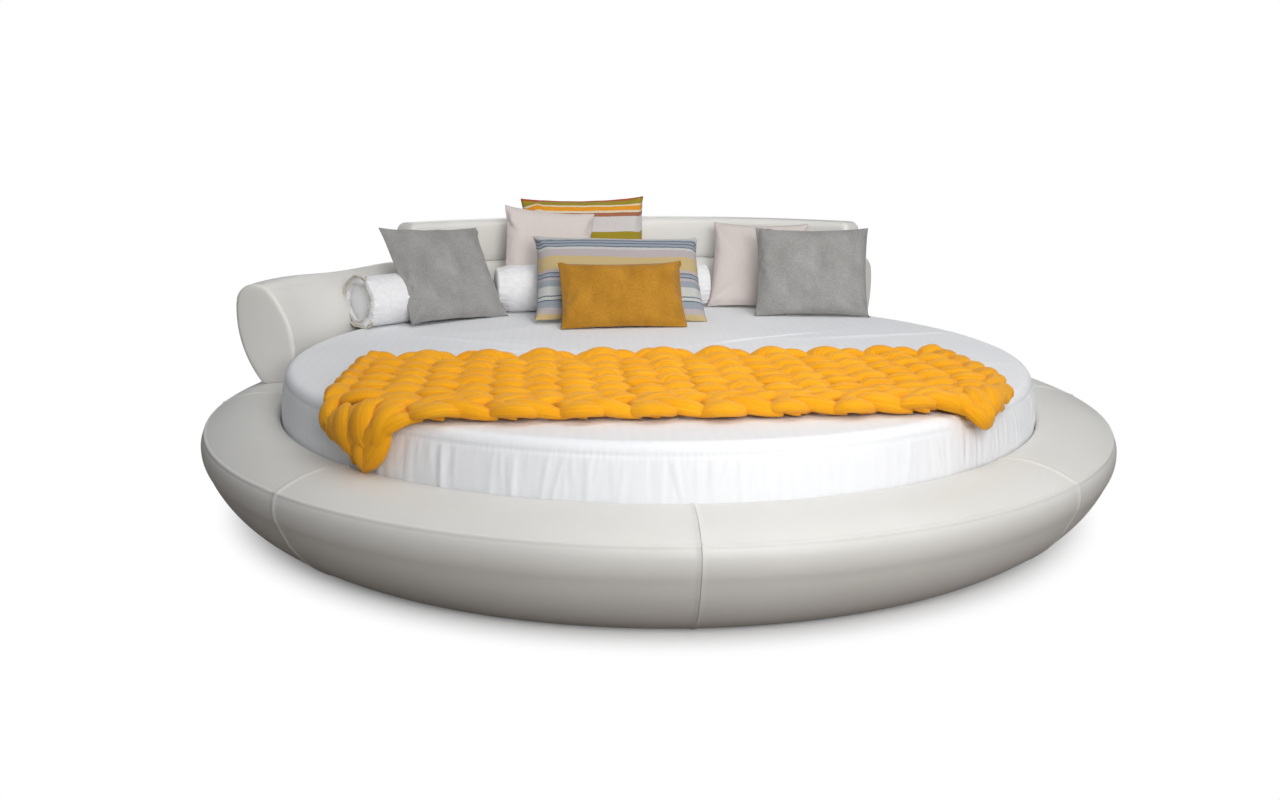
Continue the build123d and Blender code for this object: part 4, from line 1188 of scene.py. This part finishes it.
    def finish(self, points, material, slot_name, neighbours):
        """The cover as a piece, pushed clear of its neighbours and with a sharp seam."""
        points = self.placed(self.shaped(points))
        for tree in neighbours:
            points = push_out(points, tree)
        points = settle_on(points, CUSHION_REST_Z)
        piece = make_piece("cushion_" + self.word + "_cover", points, self.faces, material, BED)
        set_uv(piece, self.uv * np.array(self.size[:2]))
        crease = piece.data.attributes.new("crease_edge", "FLOAT", "EDGE")
        sharp = [self.seam_crease * self.rim[list(edge.vertices)].all() for edge in piece.data.edges]
        crease.data.foreach_set("value", sharp)
        smooth = piece.modifiers.new("smooth", "SUBSURF")
        smooth.levels = smooth.render_levels = 1
        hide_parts("cushion_" + self.word)
        return piece


def settle_on(points, level):
    """Press what would sink below a level flat on it."""
    points = points.copy()
    points[:, 2] = level + np.maximum(points[:, 2] - level, 0)
    return points


def tree_of(piece):
    """Search tree of a piece's outer surface."""
    mesh = bmesh.new()
    mesh.from_mesh(piece.data)
    tree = BVHTree.FromBMesh(mesh)
    mesh.free()
    return tree


def push_out(points, tree, clear=1.5 * MM, reach=0.09):
    """Move points that lie inside another piece to just off its surface."""
    points = points.copy()
    for index, point in enumerate(points):
        place, normal, _, _ = tree.find_nearest(Vector(point), reach)
        if place is not None and (Vector(point) - place).dot(normal) < clear * 0.5:
            points[index] = place + normal * clear
    return points


CUSHIONS = (
    (Cushion("olive", (0.485, 0.412, 0.075), (-0.1986, 1.035), 7.6, 14, 0.6, 201), "olive_stripe"),
    (Cushion("pink_left", (0.358, 0.368, 0.072), (-0.360, 0.9415), 19.5, 8, -6.4, 202), "pink_linen"),
    (Cushion("pink_right", (0.362, 0.348, 0.072), (0.427, 0.858), -15.3, 27, 0, 203), "pink_linen"),
    (Cushion("grey_right", (0.413, 0.338, 0.088), (0.607, 0.651), -6.5, 24, 0.2, 204), "grey_velvet"),
    (Cushion("grey_left", (0.408, 0.378, 0.088), (-0.645, 0.581), 41.4, 34, -3.2, 205), "grey_velvet"),
    (Cushion("striped", (0.603, 0.380, 0.100), (-0.085, 0.530), 5.1, 46, -1.9, 206), "blue_stripe"),
    (Cushion("mustard", (0.432, 0.255, 0.088), (-0.080, 0.412), 5.8, 35, -0.3, 207), "mustard_velvet"),
)


def build_cushions():
    for cushion, _ in CUSHIONS:
        cushion.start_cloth()
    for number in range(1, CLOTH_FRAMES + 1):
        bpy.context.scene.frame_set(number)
        for cushion, _ in CUSHIONS:
            cushion.read_cloth(number == CLOTH_FRAMES)
    shapes = [cushion.inflated for cushion, _ in CUSHIONS]
    bpy.context.scene.frame_set(1)
    names = ("bolster_left_cover", "bolster_centre_cover", "roll_cover_left", "roll_cover_right",
             "headrest_cover")
    trees = [tree_of(bpy.data.objects[name]) for name in names]
    for (cushion, slot_name), points in zip(CUSHIONS, shapes):
        piece = cushion.finish(points, CUSHION_MATERIALS[slot_name], slot_name, trees)
        trees.append(tree_of(piece))


# Knitted throw

THROW_LONG, THROW_DEEP = 1.715, 0.72
THROW_MID_X, THROW_FRONT_Y, THROW_TURN = 0.004, -0.905, math.radians(1.5)
THROW_PULL_LEFT, THROW_PULL_RIGHT, BACK_PULL_SHARE = 0.15, 0.34, 0.55
THROW_SLACK_LEFT, THROW_SLACK_RIGHT = 56 * MM, 46 * MM
SLACK_ASIDE, SLACK_FORWARD = (0.95, 0.6), (0.65, 1.0)
CORNER_R, CORNER_REACH, CORNER_PRESS = 0.12, 0.34, 0.25
WALES, COURSES = 10, 7
WALE, COURSE = THROW_LONG / WALES, 0.09
YARN_WIDE, YARN_THICK = 62 * MM, 30 * MM
LOOP_HALF, LOOP_SWAY, LOOP_DIP = 0.0675, 0.020, 12 * MM
THROW_MID_Z = BED_TOP_Z + 21 * MM
DRAPE_START_R, DRAPE_BEND_R = 1.064, 0.058

# Petals of roving: start and end in the flat knit (right, back, up), bulge, width and thickness
CORNER_PETALS = (
    (0.012, 0.165, 0.004, 0.052, 0.045, -0.002, -0.030, 0.062, 0.046),
    (0.028, 0.095, 0.002, 0.120, 0.000, -0.004, -0.034, 0.062, 0.046),
    (0.072, 0.165, 0.008, 0.060, 0.045, 0.008, -0.010, 0.058, 0.042),
    (0.130, 0.140, 0.008, 0.100, 0.018, 0.010, -0.008, 0.056, 0.042),
    (0.205, 0.085, 0.006, 0.100, 0.004, -0.002, -0.010, 0.056, 0.044),
    (0.110, 0.075, 0.006, 0.055, 0.000, 0.002, -0.006, 0.054, 0.042),
)
FRONT_PETALS = (
    (0.000, 0.064, 0.013, 0.160, 0.024, -0.008, 0.012, 0.050, 0.042),
    (0.134, 0.060, 0.009, 0.206, 0.022, -0.009, 0.008, 0.044, 0.036),
    (-0.050, 0.050, -0.003, 0.080, 0.128, 0.013, 0.012, 0.054, 0.038),
    (0.045, 0.060, -0.002, 0.165, 0.118, 0.010, 0.006, 0.050, 0.036),
)
BACK_PETAL = (-0.014, 0.000, -0.006, 0.088, 0.000, -0.006, -0.020, 0.056, 0.040)
SIDE_PETAL = (0.035, -0.045, 0.000, 0.030, 0.055, 0.002, -0.034, 0.052, 0.036)


def throw_place(flat):
    """Lay points of the flat knit on the bed, and over its edge where they pass it.

    The points are given to the right, back, and up from the knit's middle plane.
    """
    flat = np.asarray(flat, dtype=float)
    p = flat[..., 0] / (THROW_LONG / 2)
    q = (flat[..., 1] - THROW_DEEP / 2) / (THROW_DEEP / 2)
    left = p < 0
    pull = np.where(left, THROW_PULL_LEFT, THROW_PULL_RIGHT) * np.where(q < 0, 1.0, BACK_PULL_SHARE)
    drawn_p = p * np.sqrt(np.clip(1 - pull * q ** 2 / 2, 0.2, None))
    drawn_q = q * np.sqrt(np.clip(1 - pull * p ** 2 / 2, 0.2, None))
    x, y = drawn_p * THROW_LONG / 2, (drawn_q + 1) * THROW_DEEP / 2
    # Round the front corners
    out_x = np.clip(np.abs(x) - (THROW_LONG / 2 - CORNER_R), 0, None)
    out_y = np.clip(CORNER_R - y, 0, None)
    far = np.hypot(out_x, out_y)
    rounded = (far > CORNER_R) & (out_x > 0) & (out_y > 0)
    pressed = CORNER_R + (far - CORNER_R) * CORNER_PRESS
    held = np.where(rounded, pressed / np.maximum(far, 1e-6), 1.0)
    x = x - np.sign(x) * out_x * (1 - held)
    y = y + out_y * (1 - held)
    # Let them hang out and down with some slack
    fall = np.clip(1 - np.hypot(np.abs(x) - THROW_LONG / 2, y) / CORNER_REACH, 0, 1)
    slack = np.where(left, THROW_SLACK_LEFT, THROW_SLACK_RIGHT) * fall ** 2 * (3 - 2 * fall)
    x, y = x - slack * np.where(left, *SLACK_ASIDE), y - slack * np.where(left, *SLACK_FORWARD)
    ripple = 6 * MM * np.sin(x * 9.0 + 0.6) + 5 * MM * np.sin(x * 17.0 + 2.0)
    y = y + ripple * np.clip(y / THROW_DEEP, 0, 1)
    x, y = turned(x, y - THROW_DEEP / 2, -THROW_TURN)
    x, y = x + THROW_MID_X, y + THROW_FRONT_Y + THROW_DEEP / 2
    # Bend what passes the bed's edge
    r = np.hypot(x, y)
    over = np.clip(r - DRAPE_START_R, 0, None)
    bend = np.clip(over / DRAPE_BEND_R, 0, math.pi / 2)
    down = np.clip(over - DRAPE_BEND_R * math.pi / 2, 0, None)
    radius = np.minimum(r, DRAPE_START_R) + DRAPE_BEND_R * np.sin(bend) + flat[..., 2] * np.sin(bend)
    height = THROW_MID_Z - DRAPE_BEND_R * (1 - np.cos(bend)) - down + flat[..., 2] * np.cos(bend)
    return np.stack([x / r * radius, y / r * radius, height], axis=-1)


def yarn(path, wide, thick, sides=14):
    """A flat oval strand along a path in the flat knit, with UV along and round it for its fibres."""
    path = np.asarray(path, dtype=float)
    tangent = np.gradient(path, axis=0)
    tangent /= np.linalg.norm(tangent, axis=1)[:, None]
    side = np.cross(tangent, np.array([0.0, 0.0, 1.0]))
    side /= np.maximum(np.linalg.norm(side, axis=1), 1e-6)[:, None]
    turn = -math.pi / 2 + np.linspace(0, TURN, sides, endpoint=False)
    rings, faces = strand(path, side, np.cross(side, tangent), wide / 2, thick / 2, turn)
    run = np.concatenate([[0], np.cumsum(np.linalg.norm(np.diff(path, axis=0), axis=1))])
    around = np.arange(sides) / sides
    uv = np.stack(np.meshgrid(around, run, indexing="xy"), axis=-1).reshape(-1, 2)
    return throw_place(rings).reshape(-1, 3), faces, uv


def course_path(number, own):
    """One row of loops, heads and feet on top and legs below."""
    t = np.linspace(0.1, TURN * WALES - 0.1, WALES * 44)
    x = -THROW_LONG / 2 + 0.02 + (THROW_LONG - 0.04) * t / (TURN * WALES) + LOOP_SWAY * np.sin(2 * t)
    x = x + 12 * MM * waves(t, own.integers(1e6), 4, 0.15, 0.5)
    middle = 0.0825 + number * COURSE
    y = middle + LOOP_HALF * np.cos(t) + 10 * MM * waves(t, own.integers(1e6), 4, 0.1, 0.6)
    top = np.cos(2 * t)
    z = LOOP_DIP * top + 4 * MM * waves(t, own.integers(1e6), 4, 0.3, 1.1)
    fatness = 1 + 0.17 * waves(t, own.integers(1e6), 4, 0.3, 1.2)
    wide = YARN_WIDE * (0.80 + 0.22 * top) * fatness
    thick = YARN_THICK * (0.92 + 0.24 * top) * fatness
    return np.stack([x, y, z], axis=-1), wide, thick


def petal(row, x, y=0.0, direction=1, fat=1.0):
    """A lens of roving between two tucked ends, measured from x and y, mirrored by direction -1."""
    start_x, start_y, start_z, end_x, end_y, end_z, bulge, wide, thick = row
    start = np.array([x + direction * start_x, y + start_y, start_z])
    end = np.array([x + direction * end_x, y + end_y, end_z])
    s = np.linspace(0, 1, 22)[:, None]
    chord = end - start
    right = np.array([chord[1], -chord[0], 0.0])
    right /= np.linalg.norm(right)
    arch = np.sin(math.pi * s)
    path = start + chord * s + right * direction * bulge * arch + np.array([0, 0, 9 * MM]) * arch
    lens = np.sin(math.pi * np.clip(s[:, 0] * 0.90 + 0.05, 0, 1)) ** 0.62
    return path, wide * fat * np.maximum(lens, 0.25), thick * fat * np.maximum(lens, 0.35)


def corner(side):
    """Fat petals that close a front corner bluntly."""
    return [petal(row, side * (THROW_LONG / 2), direction=-side) for row in CORNER_PETALS]


def front_edge(own):
    """Bind-off along the front: long and short petals by turns, and a row of slanting legs behind."""
    parts = corner(-1) + corner(1)
    for number in range(WALES + 1):
        x = -THROW_LONG / 2 + 0.075 + number * WALE + own.uniform(-6, 6) * MM
        if x + 0.15 > THROW_LONG / 2 - 0.02:
            break
        fat = own.uniform(0.92, 1.1)
        parts += [petal(row, x, fat=fat) for row in FRONT_PETALS]
    return parts


def back_edge(own):
    """Rounded bumps of the first row along the back."""
    parts = []
    for number in range(2 * WALES):
        x = -THROW_LONG / 2 + 0.02 + number * WALE / 2 + own.uniform(-6, 6) * MM
        back = THROW_DEEP - 0.047 + (number % 3 == 0) * 9 * MM
        parts.append(petal(BACK_PETAL, x, back, fat=own.uniform(0.85, 1.15)))
    return parts


def selvedge(side, own):
    """Bumps where the rows turn back at a side."""
    parts = []
    for number in range(1, COURSES):
        y = 0.075 + number * COURSE + own.uniform(-5, 5) * MM
        x = side * (THROW_LONG / 2 - 0.030)
        parts.append(petal(SIDE_PETAL, x, y, -side, own.uniform(0.92, 1.1)))
    return parts


def build_throw():
    own = np.random.default_rng(17)
    runs = [course_path(number, own) for number in range(COURSES)]
    runs += front_edge(own) + back_edge(own) + selvedge(-1, own) + selvedge(1, own)
    strands = [yarn(*run) for run in runs]
    verts, faces = join_parts([(run_verts, run_faces) for run_verts, run_faces, _ in strands])
    piece = make_piece("throw_knit", verts, faces, WOOL, BED)
    set_uv(piece, np.vstack([uv + [0, index * 0.37] for index, (_, _, uv) in enumerate(strands)]))
    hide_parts("throw")


# Studio

FLOOR_HALF = 14.0
WORLD_FILL = 0.305


def build_studio():
    """Pale floor, soft lamps, white surround and the camera."""
    floor_mesh = bpy.data.meshes.new("floor")
    corners = [(x * FLOOR_HALF, y * FLOOR_HALF, 0) for x, y in ((-1, -1), (1, -1), (1, 1), (-1, 1))]
    floor_mesh.from_pydata(corners, [], [(0, 1, 2, 3)])
    floor = in_scene("floor", floor_mesh)
    floor_mesh.materials.append(floor_material())
    world = bpy.data.worlds.new("studio")
    bpy.context.scene.world = world
    world.use_nodes = True
    tree = world.node_tree
    tree.nodes.clear()
    path = add(tree, "ShaderNodeLightPath")
    seen = calc(tree, "ADD", path.outputs["Is Camera Ray"], path.outputs["Is Transmission Ray"], clamp=True)
    fill = add(tree, "ShaderNodeBackground", {"Color": (0.93, 0.96, 1.0, 1), "Strength": WORLD_FILL})
    white = add(tree, "ShaderNodeBackground", {"Color": (1, 1, 1, 1), "Strength": 1.0})
    mix = add(tree, "ShaderNodeMixShader", {0: seen, 1: fill.outputs[0], 2: white.outputs[0]})
    add(tree, "ShaderNodeOutputWorld", {"Surface": mix.outputs[0]})
    lamp("key", (0.9, -1.0, 3.4), (0, 0, 0.2), 3.2, 46, (1.0, 0.99, 0.98))
    lamp("front", (2.0, -6.0, 1.9), (0, 0, 0.45), 2.0, 76, (0.99, 0.995, 1.0))
    lamp("head", (0.4, -3.0, 1.9), (0, 1.2, 0.55), 1.6, 11, (1.0, 0.99, 0.975), 70)
    lamp("back", (-0.5, 6.0, 1.4), (0, 1.2, 0.35), 3.0, 45, (1.0, 1.0, 1.0))
    place_camera()


def floor_material():
    """White to the camera with the bed's shadow, greyer to the bounce light."""
    material = bpy.data.materials.new("floor_pale")
    material.use_nodes = True
    tree = material.node_tree
    tree.nodes.clear()
    place = add(tree, "ShaderNodeTexCoord").outputs["Object"]
    distance = add(tree, "ShaderNodeVectorMath", {0: place}, operation="LENGTH").outputs["Value"]
    fade = add(tree, "ShaderNodeMapRange", {"Value": distance, "From Min": 1.12, "From Max": 1.30},
               interpolation_type="SMOOTHSTEP").outputs["Result"]
    grit = cloud(tree, place, 40.0, 3.0)
    tone = ramp(tree, grit, [(0.3, (0.93, 0.93, 0.925)), (0.7, (0.96, 0.96, 0.955))])
    near = add(tree, "ShaderNodeBsdfDiffuse", {"Color": tone})
    white = add(tree, "ShaderNodeEmission", {"Color": (1, 1, 1, 1), "Strength": 1.0})
    seen = add(tree, "ShaderNodeMixShader", {0: fade, 1: near.outputs[0], 2: white.outputs[0]})
    bounce = add(tree, "ShaderNodeBsdfDiffuse", {"Color": (0.25, 0.215, 0.19, 1)})
    camera_ray = add(tree, "ShaderNodeLightPath").outputs["Is Camera Ray"]
    mix = add(tree, "ShaderNodeMixShader", {0: camera_ray, 1: bounce.outputs[0], 2: seen.outputs[0]})
    add(tree, "ShaderNodeOutputMaterial", {"Surface": mix.outputs[0]})
    return material


def lamp(name, place, aim, size, power, color, spread_angle=180):
    light = bpy.data.lights.new(name, "AREA")
    light.shape, light.size, light.energy, light.color = "DISK", size, power, color
    light.spread = math.radians(spread_angle)
    holder = in_scene(name, light)
    holder.location = place
    holder.rotation_euler = (Vector(aim) - Vector(place)).to_track_quat("-Z", "Y").to_euler()


def place_camera():
    camera = bpy.data.cameras.new("camera")
    camera.lens, camera.sensor_width, camera.sensor_fit = CAMERA_LENS, SENSOR_WIDTH, "HORIZONTAL"
    holder = in_scene("camera", camera)
    forward = Vector(CAMERA_FORWARD).normalized()
    up = Vector(CAMERA_UP).normalized()
    right = forward.cross(up).normalized()
    up = right.cross(forward)
    basis = Matrix((right, up, -forward)).transposed().to_4x4()
    holder.matrix_world = Matrix.Translation(CAMERA_PLACE) @ basis
    bpy.context.scene.camera = holder


bpy.context.scene.view_settings.view_transform = "Standard"
build_studio()
dress_nodes()
build_ring()
for module in range(len(ROLL_NAMES)):
    roll_cover(module)
build_headrest()
build_sheet()
build_bolsters()
build_cushions()
build_throw()
